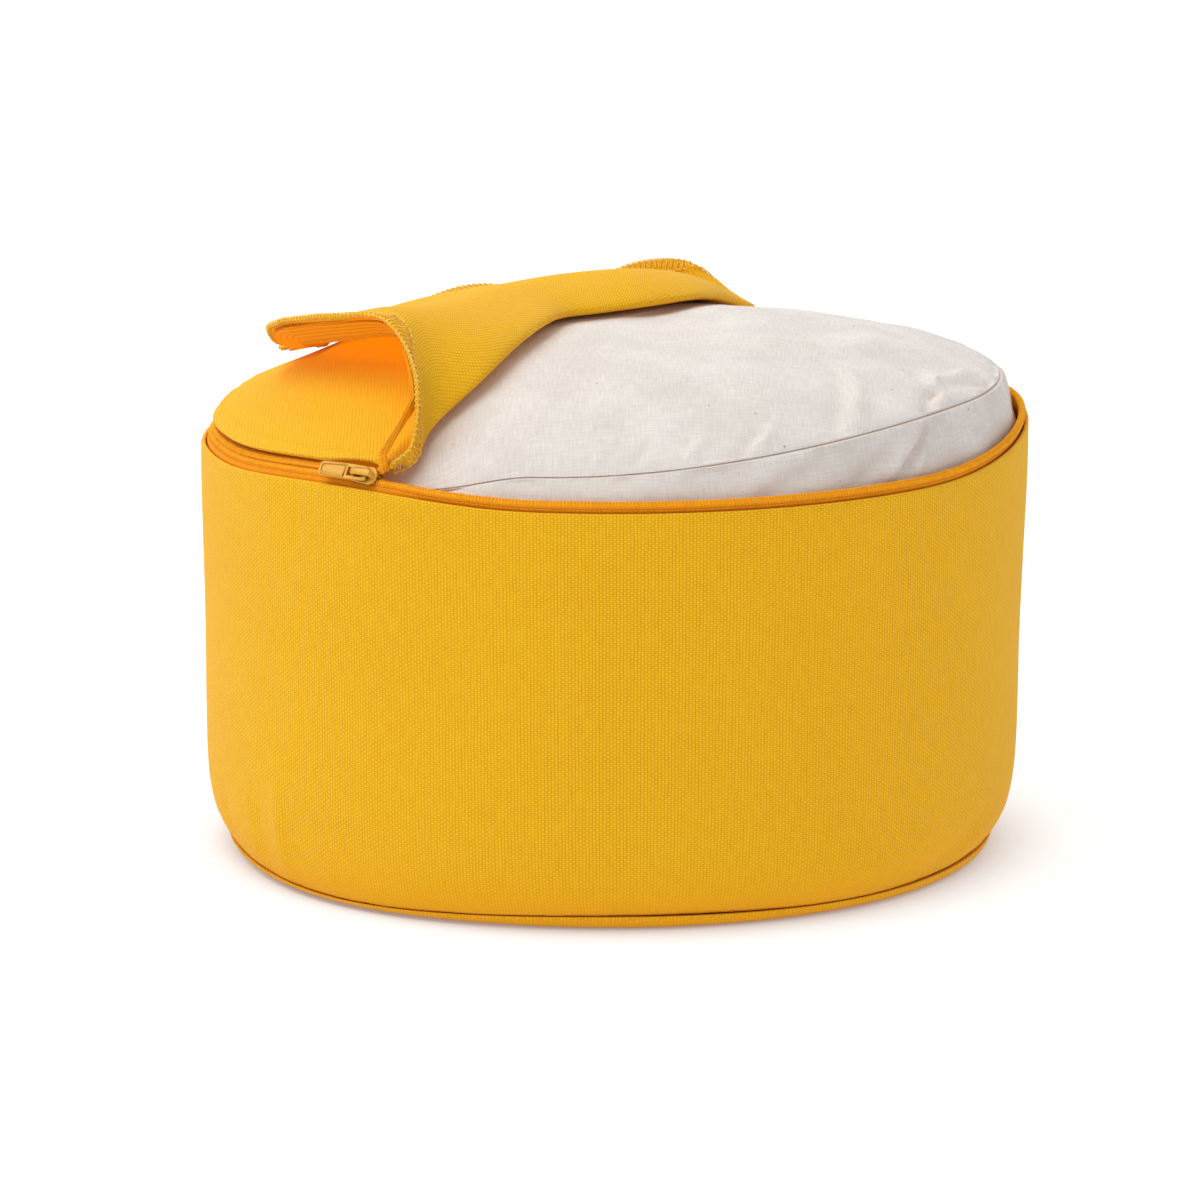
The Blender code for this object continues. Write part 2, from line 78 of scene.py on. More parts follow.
# How the lying panel curves down to its edge: a shoulder, and beside the closed zip a tighter corner
SHOULDER_START = 115.0
SHOULDER_RUN = 46.0
SHOULDER_RISE = 13.0
CORNER_START = 150.0

# The coil zip: closed from its end round the left to the slider, open from there round the right
SLIDER_BEARING = -122.0
SLIDER_MIDDLE = -125.7
PULLER_TOP = 4.9
END_BEARING = 60.0
CLOSED_SWEEP = 360.0 - (END_BEARING - SLIDER_BEARING)
ZIP_LEAN = 32.0
# Round the zip's ends its closed shape fades out, from inside the closed part to past it, in degrees
FADE_INSIDE = 3.0
FADE_PAST = 9.0
SLIDER_LIFT = 2.4
TAPE = 1.0
TAPE_WIDTH = 10.5
TAPE_RADIUS = 162.6
COIL_RADIUS = 1.5
LOWER_COIL_RISE = 2.8
UPPER_COIL_RISE = LOWER_COIL_RISE + 2.0 * COIL_RADIUS + GAP

# The filled calico inner
FLAT_RADIUS = 137.0
INNER_SEAM_RADIUS = 154.0
INNER_SIDE_RADIUS = 161.0
INNER_NECK_RADIUS = 160.2
CROWN_HEIGHT = 211.0
CROWN_POWER = 3.2
PANEL_OVER_CROWN = 2.2

# The calico's top seam: lowest under the closed cover, with a rise over each stretch, and back down
INNER_SEAM_HEIGHT = 168.0
INNER_SEAM_RISES = (
    # from bearing, to bearing, rise
    (-119.0, -101.0, 7.5),
    (-104.0, -28.0, 14.5),
)
INNER_SEAM_FALL = (24.0, 70.0)

# Creases of the calico, each from one place to another: its bearing, and how far down from the seam, or
# up over the crown where that is negative
CREASES = (
    # bearing, down, bearing, down, half width, height
    (-28.5, -13.0, -26.4, -27.0, 2.6, -1.5),
    (-28.5, -14.0, -11.0, -12.0, 2.4, 1.2),
    (-29.0, -12.0, -20.0, -22.0, 2.6, 1.1),
    (-30.0, -9.0, -33.5, -9.5, 2.2, -1.6),
    (-33.3, -9.0, -38.8, -1.0, 2.6, -1.3),
    (-30.3, -9.0, -31.8, -1.5, 2.4, 1.0),
    (-22.0, -9.0, -14.0, -3.0, 3.0, -0.9),
    (-37.0, -40.0, -53.0, -3.0, 3.4, 0.9),
    (-41.0, -40.0, -57.0, -4.0, 4.0, -0.7),
    (-68.8, -4.0, -64.0, -13.0, 2.4, 0.9),
    (-72.0, -3.0, -68.0, -12.0, 2.6, -0.8),
    (-79.5, -4.0, -75.5, -14.0, 2.4, 0.8),
    (-87.0, -4.0, -85.0, -13.0, 2.6, -0.9),
    (-93.0, -3.0, -92.0, -12.0, 2.4, 0.7),
    (-48.6, 16.0, -40.4, 1.5, 2.2, 1.3),
    (-46.5, 16.0, -38.6, 2.0, 2.6, -1.5),
    (-43.4, 17.0, -40.8, 6.0, 2.0, 1.0),
    (-54.0, 15.0, -47.0, 5.0, 3.2, -1.0),
    (-34.5, 14.0, -36.5, 3.0, 2.8, 0.8),
    (-26.0, 13.0, -31.0, 4.0, 3.0, -0.9),
    (-70.0, 14.0, -60.0, 6.0, 4.0, -0.8),
    (4.0, -50.0, 12.0, -66.0, 7.0, 1.0),
    (2.0, -48.0, -30.0, -54.0, 6.0, 0.8),
    (-42.0, -94.0, -26.0, -60.0, 6.0, 0.9),
    (-66.0, -72.0, -38.0, -56.0, 6.0, -0.8),
)

# Creases of the side wall where it has settled, each from one place to another by bearing and height
WALL_CREASES = (
    # bearing, height, bearing, height, half width, how far it stands out
    (-143.5, 42.0, -142.0, 6.0, 3.4, 1.9),
    (-149.0, 36.0, -147.5, 8.0, 4.0, -1.6),
    (-162.0, 30.0, -160.0, 14.0, 4.5, -1.6),
    (-141.0, 31.0, -132.0, 29.0, 4.0, -0.6),
    (-134.0, 16.0, -131.0, 5.0, 3.0, 0.9),
    (-38.0, 10.0, -24.0, 26.0, 4.0, -0.9),
    (-34.0, 6.0, -18.0, 20.0, 3.6, 0.9),
    (-22.0, 44.0, -15.0, 16.0, 4.5, -0.8),
)

CALICO_CREASE_RADIUS = 150.0
CALICO_CREASE_DEPTH = 1.9

# Mesh fineness
CALICO_STEPS = 720
ROUND_STEPS = 288
PANEL_STEPS = 168
LYING_STEPS = 26
LYING_CROWDING = 1.7
TURN_STEPS = 9
TAPE_STEPS = 300
CLOSED_STEPS = 130
WALL_LIFTS = (
    *(0.0, 0.008, 0.02, 0.035, 0.055, 0.075, 0.095, 0.12, 0.145, 0.17, 0.2, 0.23, 0.27, 0.31, 0.35),
    *(0.44, 0.53, 0.62, 0.71, 0.79, 0.86, 0.91, 0.945, 0.97, 0.985, 1.0),
)

# Where the rim stands above RIM_HEIGHT: pulled up by the closed zip, and free on the open side
RIM_RISES = (
    # bearing, half width, rise
    (-130.0, 30.0, 3.6),
    (8.0, 52.0, 9.5),
)

# Where the base seam has settled outwards and towards the floor, and by how much at most
SETTLED = (
    # bearing, half width, share
    (-132.0, 42.0, 1.0),
    (-50.0, 40.0, 0.4),
)
SETTLED_DROP = 2.4

# How the top panel is peeled back: one row for each section across its free part, from the slider to
# the zip's end. The sheet leaves the crown at the fold, turns up at the side, turns over at the top and
# comes back to the free edge. bulge rounds it between side and top, and sag lowers the part behind.
PEEL = (
    # at, fold_x, fold_y, side_x, side_y, side_z, bulge, top_x, top_y, top_z, edge_x, edge_y, edge_z, sag
    (0.022, -84.0, -130.0, -76.5, -129.5, 177.8, 6.0, -86.0, -87.0, 226.0, -133.0, -30.0, 215.0, 0.0),
    (0.08, -77.0, -115.0, -69.5, -115.0, 189.5, 5.5, -81.0, -74.0, 226.5, -137.5, -16.0, 211.0, 0.0),
    (0.18, -62.0, -92.0, -49.5, -92.0, 205.5, 4.0, -73.0, -56.0, 225.0, -138.0, 0.0, 205.0, 0.0),
    (0.28, -50.0, -64.0, -37.5, -66.0, 213.0, 3.5, -64.0, -34.0, 224.0, -136.0, 12.0, 200.0, 0.0),
    (0.38, -41.0, -34.0, -27.5, -38.0, 216.0, 3.0, -53.0, -12.0, 224.0, -131.5, 22.0, 197.0, 0.0),
    (0.48, -32.0, -6.0, -20.0, -13.0, 215.0, 3.0, -38.0, 9.0, 224.5, -135.0, 33.0, 193.5, 0.0),
    (0.58, -15.0, 12.0, -5.0, 0.0, 214.8, 3.0, -22.0, 26.0, 224.5, -122.0, 53.0, 191.0, -1.0),
    (0.68, 5.0, 29.0, 14.0, 15.0, 215.0, 3.0, 0.0, 42.0, 224.0, -100.0, 80.0, 194.0, -2.0),
    (0.79, 28.0, 56.0, 35.0, 43.0, 213.5, 2.5, 20.0, 66.0, 219.5, -78.0, 99.0, 203.0, -3.0),
    (0.88, 43.0, 88.0, 46.0, 80.0, 206.6, 2.0, 36.0, 96.0, 210.5, -58.0, 110.0, 207.0, -4.0),
    (0.95, 60.0, 114.0, 58.0, 112.0, 197.6, 0.5, 48.0, 119.0, 201.0, -30.0, 120.0, 204.0, -6.0),
)
# The free edge at either end of those rows: side and bulge, top, behind, and the last corner
MOUTH = (-77.0, -130.0, 184.5, 6.5), (-88.0, -91.0, 225.5), (-110.0, -66.0, 223.5), (-131.0, -34.0, 216.5)
REAR = (50.0, 139.0, 196.5, 1.0), (29.0, 134.0, 213.5), (9.0, 131.0, 213.5), (-10.0, 127.0, 206.0)
FLAP_CLEARANCE = 4.6
FLAP_EASING = 3.0
BROW_OUT = Vector((1.0, -0.6, 0.6))
BEHIND_SHARE = 0.55
PEEL_BEARING = -31.0

# How the upper tape hangs on the free edge: at 0 it lies on the inner face and at 90 it stands off it.
# width is from the seam to the coil, less where the slider gathers it.
TAPE_TURNS = (
    # at, turn, width
    (0.00, 85.0, 3.0),
    (0.04, 60.0, 3.4),
    (0.07, 22.0, 6.6),
    (0.11, 8.0, 10.5),
    (0.70, 6.0, 10.5),
    (0.76, 14.0, 6.6),
    (0.80, 36.0, 8.0),
    (0.90, 40.0, 9.0),
    (0.95, 52.0, 6.0),
    (1.00, 70.0, 3.5),
)

# The upper coil leaves the slider round the outside of the panel's corner: its place, and where its
# strip points from there
SLIDER_EXIT = (
    # bearing, radius, above the rim, outwards, along, up
    (-124.3, 158.6, 6.7, -1.0, 0.0, 0.3),
    (-123.1, 160.4, 8.1, -0.5, 0.9, 0.0),
    (-122.8, 162.4, 10.5, 0.0, 1.0, 0.0),
    (-123.2, 161.0, 14.2, 0.2, 1.0, 0.0),
)
EXIT_STRIP = 2.4
# How many times each direction of the tape is averaged with the ones beside it
TAPE_SOFTENING = 40
# The shares of the free edge between which the tape is sewn on
TAPE_FROM, TAPE_TO = 0.06, 0.87

# Heights above the rim between which the painted glow in the canvas's hollows sets in
PAINTED_GLOW_RISE = (6.0, 16.0)

# Lights in metres and shares of the main light's power
MIDDLE = (0.0, 0.0, 0.1)
LIGHTS = (
    # name, place, target, size, share, colour
    ("key_light", (-1.25, -0.4, 2.5), MIDDLE, 3.0, 1.0, (1.0, 0.99, 0.98)),
    ("fill_light", (2.0, -2.4, 1.3), MIDDLE, 2.2, 0.15, (0.98, 0.99, 1.0)),
    ("far_light", (0.0, 2.7, 1.9), (0.0, 2.7, 0.0), 3.0, 0.3, (1.0, 1.0, 1.0)),
)
AIR_LIGHT = 0.45

# The studio floor in metres: how wide, where it starts, where it curves up and how high it ends
FLOOR_HALF_WIDTH = 9.0
FLOOR_NEAR = -7.0
FLOOR_BEND = 2.5
FLOOR_CURVE = 2.0
FLOOR_TOP = 8.0


# ---------------------------------------------------------------- curves and shapes of the cushion


def smooth(value, start, end):
    """0 before start, 1 after end, and an even S between them."""
    share = min(max((value - start) / (end - start), 0.0), 1.0)
    return share * share * (3.0 - 2.0 * share)


def wrapped(bearing):
    return (bearing + 180.0) % 360.0 - 180.0


def bump(bearing, centre, half_width):
    away = abs(wrapped(bearing - centre))
    return 0.5 + 0.5 * math.cos(math.pi * min(away / half_width, 1.0))


def polar(radius, bearing, height):
    angle = math.radians(bearing)
    return Vector((radius * math.cos(angle), radius * math.sin(angle), height))


def closed_share(bearing):
    """1 where the zip is closed, 0 where it is open."""
    from_slider = (SLIDER_BEARING - bearing) % 360.0
    if from_slider > 180.0 + CLOSED_SWEEP / 2.0:
        from_slider -= 360.0
    past_end = smooth(from_slider, CLOSED_SWEEP - FADE_INSIDE, CLOSED_SWEEP + FADE_PAST)
    return smooth(from_slider, -FADE_PAST, FADE_INSIDE) * (1.0 - past_end)


def rim_height(bearing):
    return RIM_HEIGHT + sum(rise * bump(bearing, centre, width) for centre, width, rise in RIM_RISES)


def settled(bearing):
    """How far the base seam has settled, from 0 to 1."""
    return sum(share * bump(bearing, centre, width) for centre, width, share in SETTLED)


def base_seam_height(bearing):
    return BASE_SEAM_HEIGHT - SETTLED_DROP * settled(bearing)


def wall_radius(height, bearing):
    """Outer face of the side wall: nearly upright, rounded in towards the base seam."""
    share = height / RIM_HEIGHT
    slump = WALL_SLUMP * max(1.0 - share, 0.0) ** 1.5
    fade = math.exp(-(height - BASE_SEAM_HEIGHT) / TURN_IN_RISE)
    turned_in = (TURN_IN - TURN_IN_LOST * settled(bearing)) * fade
    lean = WALL_LEAN * (1.0 - share) * math.cos(math.radians(bearing))
    return RIM_RADIUS - slump - turned_in + lean


def zip_band(bearing):
    """How far the top panel's edge stands above the rim: the slider lifts it."""
    return ZIP_BAND + SLIDER_LIFT * bump(bearing, SLIDER_BEARING - 3.0, 10.0)


def inner_seam_height(bearing):
    """Height of the seam round the top of the calico: low under the closed cover, high where it is free."""
    turn = wrapped(bearing)
    front = sum(rise * smooth(turn, start, end) for start, end, rise in INNER_SEAM_RISES)
    return INNER_SEAM_HEIGHT + front * (1.0 - smooth(turn, *INNER_SEAM_FALL))


def crown(x, y):
    """Top of the calico."""
    radius = math.hypot(x, y)
    seam = inner_seam_height(math.degrees(math.atan2(y, x)))
    return seam + (CROWN_HEIGHT - seam) * (1.0 - (radius / INNER_SEAM_RADIUS) ** CROWN_POWER)


def shoulder(radius):
    """How far the panel's shoulder bends away from the crown."""
    return SHOULDER_RISE * max((radius - SHOULDER_START) / SHOULDER_RUN, 0.0) ** 2


def lying_panel(x, y):
    """Middle of the top panel's thickness where it still lies on the crown."""
    radius = math.hypot(x, y)
    bearing = math.degrees(math.atan2(y, x))
    closed = closed_share(bearing)
    at_edge = crown(*polar(PANEL_RADIUS, bearing, 0.0).xy) + PANEL_OVER_CROWN
    at_edge += shoulder(PANEL_RADIUS)
    drop = at_edge - rim_height(bearing) - zip_band(bearing)
    corner = drop * max((radius - CORNER_START) / (PANEL_RADIUS - CORNER_START), 0.0) ** 2 * closed
    return crown(x, y) + PANEL_OVER_CROWN + shoulder(radius) * closed - corner


def panel_seam(share):
    """Where the top panel is still zipped on: from the slider round the left to the zip's end."""
    bearing = SLIDER_BEARING - CLOSED_SWEEP * share
    return polar(PANEL_RADIUS, bearing, rim_height(bearing) + zip_band(bearing))


def through(stations, place):
    """Values at place on a smooth curve through rows of (station, value, value, ...)."""
    last = len(stations) - 2
    index = next((i for i in range(last) if place < stations[i + 1][0]), last)
    before, start, end, after = (stations[min(max(index + k, 0), last + 1)] for k in (-1, 0, 1, 2))
    span = end[0] - start[0]
    share = (place - start[0]) / span
    values = []
    for low, a, b, high in zip(before[1:], start[1:], end[1:], after[1:]):
        leave = (b - low) / (end[0] - before[0]) * span
        arrive = (high - a) / (after[0] - start[0]) * span
        values.append(
            a * (1 + 2 * share) * (1 - share) ** 2
            + leave * share * (1 - share) ** 2
            + b * share**2 * (3 - 2 * share)
            + arrive * share**2 * (share - 1)
        )
    return values


def curve_through(points, steps):
    """Points on a smooth curve through the given ones, with the same number of steps between each two."""
    stations = [(0.0, *points[0])]
    for previous, point in zip(points, points[1:]):
        stations.append((stations[-1][0] + max((point - previous).length, 1e-4), *point))
    found = [points[0].copy()]
    for start, end in zip(stations, stations[1:]):
        for step in range(1, steps + 1):
            found.append(Vector(through(stations, start[0] + (end[0] - start[0]) * step / steps)))
    return found


def lying_section(share):
    """Points over the crown from the zipped seam to the fold."""
    seam = panel_seam(share)
    ends = [(at, *panel_seam(at).xy) for at in (0.0, 1.0)]
    fold_x, fold_y = through((ends[0], *(row[:3] for row in PEEL), ends[1]), share)
    points = []
    for step in range(LYING_STEPS + 1):
        part = (step / LYING_STEPS) ** LYING_CROWDING
        x = seam.x + (fold_x - seam.x) * part
        y = seam.y + (fold_y - seam.y) * part
        points.append(Vector((x, y, lying_panel(x, y))))
    return points


def kept_clear(point):
    """The point, eased up to where the flap clears the lying part of the panel."""
    floor = lying_panel(point.x, point.y) + CANVAS + FLAP_CLEARANCE
    clear = point.z - floor
    if clear < FLAP_EASING:
        clear = FLAP_EASING * math.exp(clear / FLAP_EASING - 1.0)
    return Vector((point.x, point.y, floor + clear))


def free_section(share):
    """Points from the fold over the turn to the free edge. At 0 and 1 they are the free edge itself."""
    ends = []
    for at, (side, top, _, edge) in ((0.0, MOUTH), (1.0, REAR)):
        ends.append((at, *side, *top, *edge, 0.0))
    rows = (ends[0], *((row[0], *row[3:]) for row in PEEL), ends[1])
    values = through(rows, share)
    side, top, edge = (Vector(values[first : first + 3]) for first in (0, 4, 7))
    brow = side.lerp(top, 0.5) + BROW_OUT * values[3]
    start, behind = lying_section(share)[-1], top.lerp(edge, BEHIND_SHARE) + UP * values[10]
    if share in (0.0, 1.0):
        start, behind = panel_seam(share), Vector((MOUTH if share == 0.0 else REAR)[2])
    points = curve_through([start, side, brow, top, behind, edge], TURN_STEPS)
    return points[: 3 * TURN_STEPS] + [kept_clear(point) for point in points[3 * TURN_STEPS :]]


# ---------------------------------------------------------------- shader maths


class Value:
    """A shader socket that adds its Math nodes when it is used in an expression."""

    def __init__(self, finish, socket):
        self.finish, self.socket = finish, socket

    def maths(self, operation, *others):
        values = dict(enumerate((self, *others)))
        return self.finish.node("ShaderNodeMath", {"operation": operation}, values)

    def __add__(self, other):
        return self.maths("ADD", other)

    def __sub__(self, other):
        return self.maths("SUBTRACT", other)

    def __mul__(self, other):
        return self.maths("MULTIPLY", other)

    def __truediv__(self, other):
        return self.maths("DIVIDE", other)

    def __rsub__(self, other):
        return self.finish.node("ShaderNodeMath", {"operation": "SUBTRACT"}, {0: other, 1: self})

    __radd__, __rmul__ = __add__, __mul__

    def floor(self):
        return self.maths("FLOOR")

    def fraction(self):
        return self.maths("FRACT")

    def hump(self):
        """1 in the middle of each whole step, 0 at its ends."""
        return (self.fraction() * math.pi).maths("SINE")

    def between(self, low, high):
        """0 below low, 1 above high, and an even S between them."""
        settings = {"interpolation_type": "SMOOTHSTEP"}
        values = {"Value": self, "From Min": low, "From Max": high}
        return self.finish.node("ShaderNodeMapRange", settings, values)


class Finish:
    """A Principled material whose sockets are set by value or by expression."""

    def __init__(self, name, **surface):
        self.material = bpy.data.materials.new(name)
        self.material.use_nodes = True
        self.tree = self.material.node_tree
        self.surface = self.tree.nodes["Principled BSDF"]
        for socket, value in surface.items():
            self.surface.inputs[socket.replace("_", " ").title().replace("Ior", "IOR")].default_value = value

    def node(self, kind, settings=None, values=None, output=0):
        made = self.tree.nodes.new(kind)
        for setting, value in (settings or {}).items():
            setattr(made, setting, value)
        for socket, value in (values or {}).items():
            if isinstance(value, Value):
                self.tree.links.new(value.socket, made.inputs[socket])
            else:
                made.inputs[socket].default_value = value
        return Value(self, made.outputs[output])

    def blend(self, share, low, high):
        """A colour between two, each a socket or three numbers."""
        low, high = (c if isinstance(c, Value) else (*c, 1.0) for c in (low, high))
        values = {"Factor": share, 6: low, 7: high}
        return self.node("ShaderNodeMix", {"data_type": "RGBA"}, values, output=2)

    def parts(self, vector):
        """The three numbers of a vector."""
        split = self.node("ShaderNodeSeparateXYZ", None, {0: vector}).socket.node
        return [Value(self, socket) for socket in split.outputs]

    def join(self, x, y, z=0.0):
        return self.node("ShaderNodeCombineXYZ", None, {0: x, 1: y, 2: z})

    def place(self):
        """Where the surface is, in the object's own metres."""
        return self.node("ShaderNodeTexCoord", output=3)

    def cloth(self):
        """Where the surface is on the flat cloth, in millimetres."""
        return self.node("ShaderNodeAttribute", {"attribute_name": "cloth"}, output=1)

    def noise(self, vector, scale, detail=2.0, roughness=0.5):
        values = {"Vector": vector, "Scale": scale, "Detail": detail, "Roughness": roughness}
        return self.node("ShaderNodeTexNoise", None, values)

    def openness(self, reach):
        """1 where nothing stands within reach of the surface, 0 where it is closed in."""
        return self.node("ShaderNodeAmbientOcclusion", {"samples": 6}, {"Distance": reach}, output=1)

    def glow(self, colour, openness, near):
        """Paints a glow into the wide hollows above the rim, as emission standing in for light that soaks
        through, but less where something is near.
        """
        low, full = ((RIM_HEIGHT + rise) * MM for rise in PAINTED_GLOW_RISE)
        high = self.parts(self.place())[2].between(low, full)
        hollow = (1.0 - openness).between(0.5, 1.0) * near * high
        light = self.blend(hollow, (0.0, 0.0, 0.0), colour)
        self.tree.links.new(light.socket, self.surface.inputs["Emission Color"])
        self.surface.inputs["Emission Strength"].default_value = 1.0

    def done(self, colour, height=None, strength=0.5, distance=0.0004, roughness=None):
        self.tree.links.new(colour.socket, self.surface.inputs["Base Color"])
        if roughness is not None:
            self.tree.links.new(roughness.socket, self.surface.inputs["Roughness"])
        if height is not None:
            values = {"Height": height, "Strength": strength, "Distance": distance}
            normal = self.node("ShaderNodeBump", None, values)
            self.tree.links.new(normal.socket, self.surface.inputs["Normal"])
        return self.material


def weave(finish, warp_pitch, weft_pitch):
    """The height and the tone of a plain weave, and its place on the cloth. The upright threads stand
    out where they pass over. The tone is that height plus slubs, so where it colours the cloth the low
    threads get painted shade."""
    cloth = finish.cloth()
    u, v, _ = finish.parts(cloth)
    drift = finish.noise(cloth, 0.09, 2.0) - 0.5
    warp, weft = u / warp_pitch + drift * 0.5, v / weft_pitch + drift * 0.4
    checks = ((warp.floor() + weft.floor()) / 2.0).fraction() * 2.0
    over = warp.hump() * (0.35 + 0.65 * weft.hump())
    under = weft.hump() * (0.12 + 0.3 * warp.hump())
    height = checks * over + (1.0 - checks) * under
    slub = finish.noise(finish.join(u / warp_pitch * 0.8, v * 0.14), 1.0, 1.0) - 0.5
    return height, height + slub * 0.25, cloth


def canvas_finish(name, colour, deep, glow, pitch):
    """Canvas with painted light: painted shade between its threads, a deeper orange painted into its hollows
    as shade, and a painted glow in its wide hollows, all standing in for light that soaks through it.
    """
    finish = Finish(name, roughness=0.85, sheen_weight=0.06, sheen_roughness=0.5, specular_ior_level=0.12)
    height, tone, cloth = weave(finish, pitch / MM, pitch / MM * 0.665)
    broad = finish.noise(cloth, 0.02, 3.0) - 0.5
    # Painted shade between the threads, from the weave's height, mixed with the canvas's uneven tone
    shade = finish.blend((tone + broad * 0.12).between(-0.3, 0.65), deep, colour)
    openness = finish.openness(0.055)
    # Painted shade: where something closes the surface in, its colour turns a deeper orange
    shade = finish.blend((1.0 - openness.between(0.15, 0.9)) * 0.7, shade, (0.92, 0.4, 0.002))
    # Painted glow: emission in the wide hollows, standing in for light that soaks through
    finish.glow(glow, openness, finish.openness(0.006).between(0.45, 0.9))
    return finish.done(shade, height, 0.7, 0.00035)


def calico_finish(name, colour, shadow, fleck, pitch):
    finish = Finish(name, roughness=0.92, sheen_weight=0.1, sheen_roughness=0.5, specular_ior_level=0.15)
    height, tone, cloth = weave(finish, pitch / MM, pitch / MM)
    u, v, _ = finish.parts(cloth)
    broad = finish.noise(cloth, 0.03, 4.0) + finish.noise(finish.join(u * 0.12, v * 1.5), 1.0, 2.0)
    broad = broad + finish.noise(finish.join(u * 1.5, v * 0.12), 1.0, 2.0) - 1.5
    # Painted shade between the threads, mixed with the calico's uneven tone
    shade = finish.blend((tone * 0.8 + broad * 1.1).between(-0.2, 0.8), shadow, colour)
    # Painted light: a warm tint where the calico is closed in, standing in for light bounced off the canvas
    shade = finish.blend((1.0 - finish.openness(0.02)) * 0.4, shade, (0.92, 0.6, 0.42))
    specks = finish.node("ShaderNodeTexVoronoi", None, {"Vector": cloth, "Scale": 0.12}, output=0)
    few = finish.noise(cloth, 0.21, 1.0).between(0.5, 0.56)
    mark = (1.0 - specks.between(0.035, 0.075)) * few * 0.8
    shade = finish.blend(mark, shade, fleck)
    creases = finish.noise(cloth, 0.045, 5.0, 0.62)
    return finish.done(shade, height * 0.4 + creases * 3.5, 0.5, 0.0008)


def tape_finish(name, colour, deep, glow):
    """Ribbed tape with painted shade in its ribs and crevices and a painted glow in its hollows: the cloth
    attribute runs along it and across it.
    """
    finish = Finish(name, roughness=0.8, specular_ior_level=0.12)
    # Painted glow in the tape's hollows, as on the canvas
    finish.glow(glow, finish.openness(0.055), 1.0)
    cloth = finish.cloth()
    u, v, _ = finish.parts(cloth)
    ribs = (v / 0.62).hump() * 0.35 + ((u + v * 0.8) / 0.8).hump() * 0.25 + (v / 2.9).hump() * 0.6
    # Painted shade in the rib grooves, mixed with uneven tone
    shade = finish.blend((ribs + finish.noise(cloth, 0.3, 2.0) * 0.4).between(0.1, 1.2), deep, colour)
    # Painted shade: a dark orange where something closes the tape in
    shade = finish.blend(finish.openness(0.003).between(0.15, 0.85), (0.36, 0.07, 0.0), shade)
    return finish.done(shade, ribs, 0.6, 0.00025)


def thread_finish(name, colour, deep, scale):
    finish = Finish(name, roughness=0.7, specular_ior_level=0.15)
    place = finish.place()
    grain = finish.noise(place, scale, 2.0)
    return finish.done(finish.blend(grain.between(0.3, 0.7), deep, colour), grain, 0.2, 0.0001)


def enamel_finish(name, colour, deep):
    finish = Finish(name, metallic=0.1, specular_ior_level=0.35, coat_weight=0.12, coat_roughness=0.15)
    place = finish.place()
    grain = finish.noise(place, 900.0, 3.0)
    # Painted shade: the enamel darkens where something closes it in, varied by its grain
    shade = finish.blend(finish.openness(0.0025).between(0.25, 0.95) * (grain * 0.3 + 0.85), deep, colour)
    return finish.done(shade, grain, 0.12, 0.00008, roughness=grain * 0.2 + 0.26)


def ground_finish(name, colour):
    finish = Finish(name, roughness=0.9, specular_ior_level=0.0, emission_strength=0.78)
    # Painted shadow: the floor's even glow dims to a warm grey where the cushion closes it in
    light = finish.blend(finish.openness(0.05).between(0.0, 0.85), (0.34, 0.27, 0.25), (1.0, 1.0, 1.0))
    finish.tree.links.new(light.socket, finish.surface.inputs["Emission Color"])
    place = finish.place()
    tone = finish.noise(place, 3.0, 2.0)
    return finish.done(finish.blend(tone, [c * 0.99 for c in colour], colour))


FINISHES = {}


def finish_for(kind):
    """Each material is made once, from the colours in the panel."""
    if kind in FINISHES:
        return FINISHES[kind]
    scene = bpy.context.scene
    cover, inner, zips = scene.cushion_cover, scene.cushion_inner, scene.cushion_zip
    coil_deep = [part * 0.86 for part in zips.coil_colour]
    makers = {
        "canvas": lambda: canvas_finish(
            "yellow_canvas", cover.colour, cover.canvas_shade_and_tone_colour, cover.painted_glow_colour, cover.thread_pitch
        ),
        "calico": lambda: calico_finish(
            "natural_calico", inner.colour, inner.shadow_colour, inner.fleck_colour, inner.thread_pitch
        ),
        "tape": lambda: tape_finish(
            "orange_tape", zips.tape_colour, zips.tape_shade_and_tone_colour, cover.painted_glow_colour
        ),
        "coil": lambda: thread_finish("coil_plastic", zips.coil_colour, coil_deep, 300.0),
        "thread": lambda: thread_finish("edge_thread", cover.thread_colour, cover.colour, 700.0),
        "metal": lambda: enamel_finish("ochre_metal", zips.metal_colour, zips.metal_shade_and_grain_colour),
    }
    FINISHES[kind] = makers[kind]()
    return FINISHES[kind]


# ---------------------------------------------------------------- meshes


def link_piece(name, mesh):
    """An object of a finished mesh, on the cushion's body."""
    piece = bpy.data.objects.new(name, mesh)
    bpy.context.scene.collection.objects.link(piece)
    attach(piece, "root")
    return piece


def add_piece(name, bm, kind):
    """An object from a mesh in millimetres."""
    bmesh.ops.scale(bm, vec=(MM, MM, MM), verts=bm.verts)
    mesh = bpy.data.meshes.new(name)
    bm.to_mesh(mesh)
    bm.free()
    mesh.materials.append(finish_for(kind))
    mesh.shade_smooth()
    mesh.set_sharp_from_angle(angle=math.radians(55.0))
    return link_piece(name, mesh)


def lay_cloth(bm, face, corners):
    """Writes each corner's place on the flat cloth."""
    layer = bm.loops.layers.float_vector["cloth"]
    for loop, place in zip(face.loops, corners):
        loop[layer] = place


def new_cloth():
    bm = bmesh.new()
    bm.loops.layers.float_vector.new("cloth")
    return bm


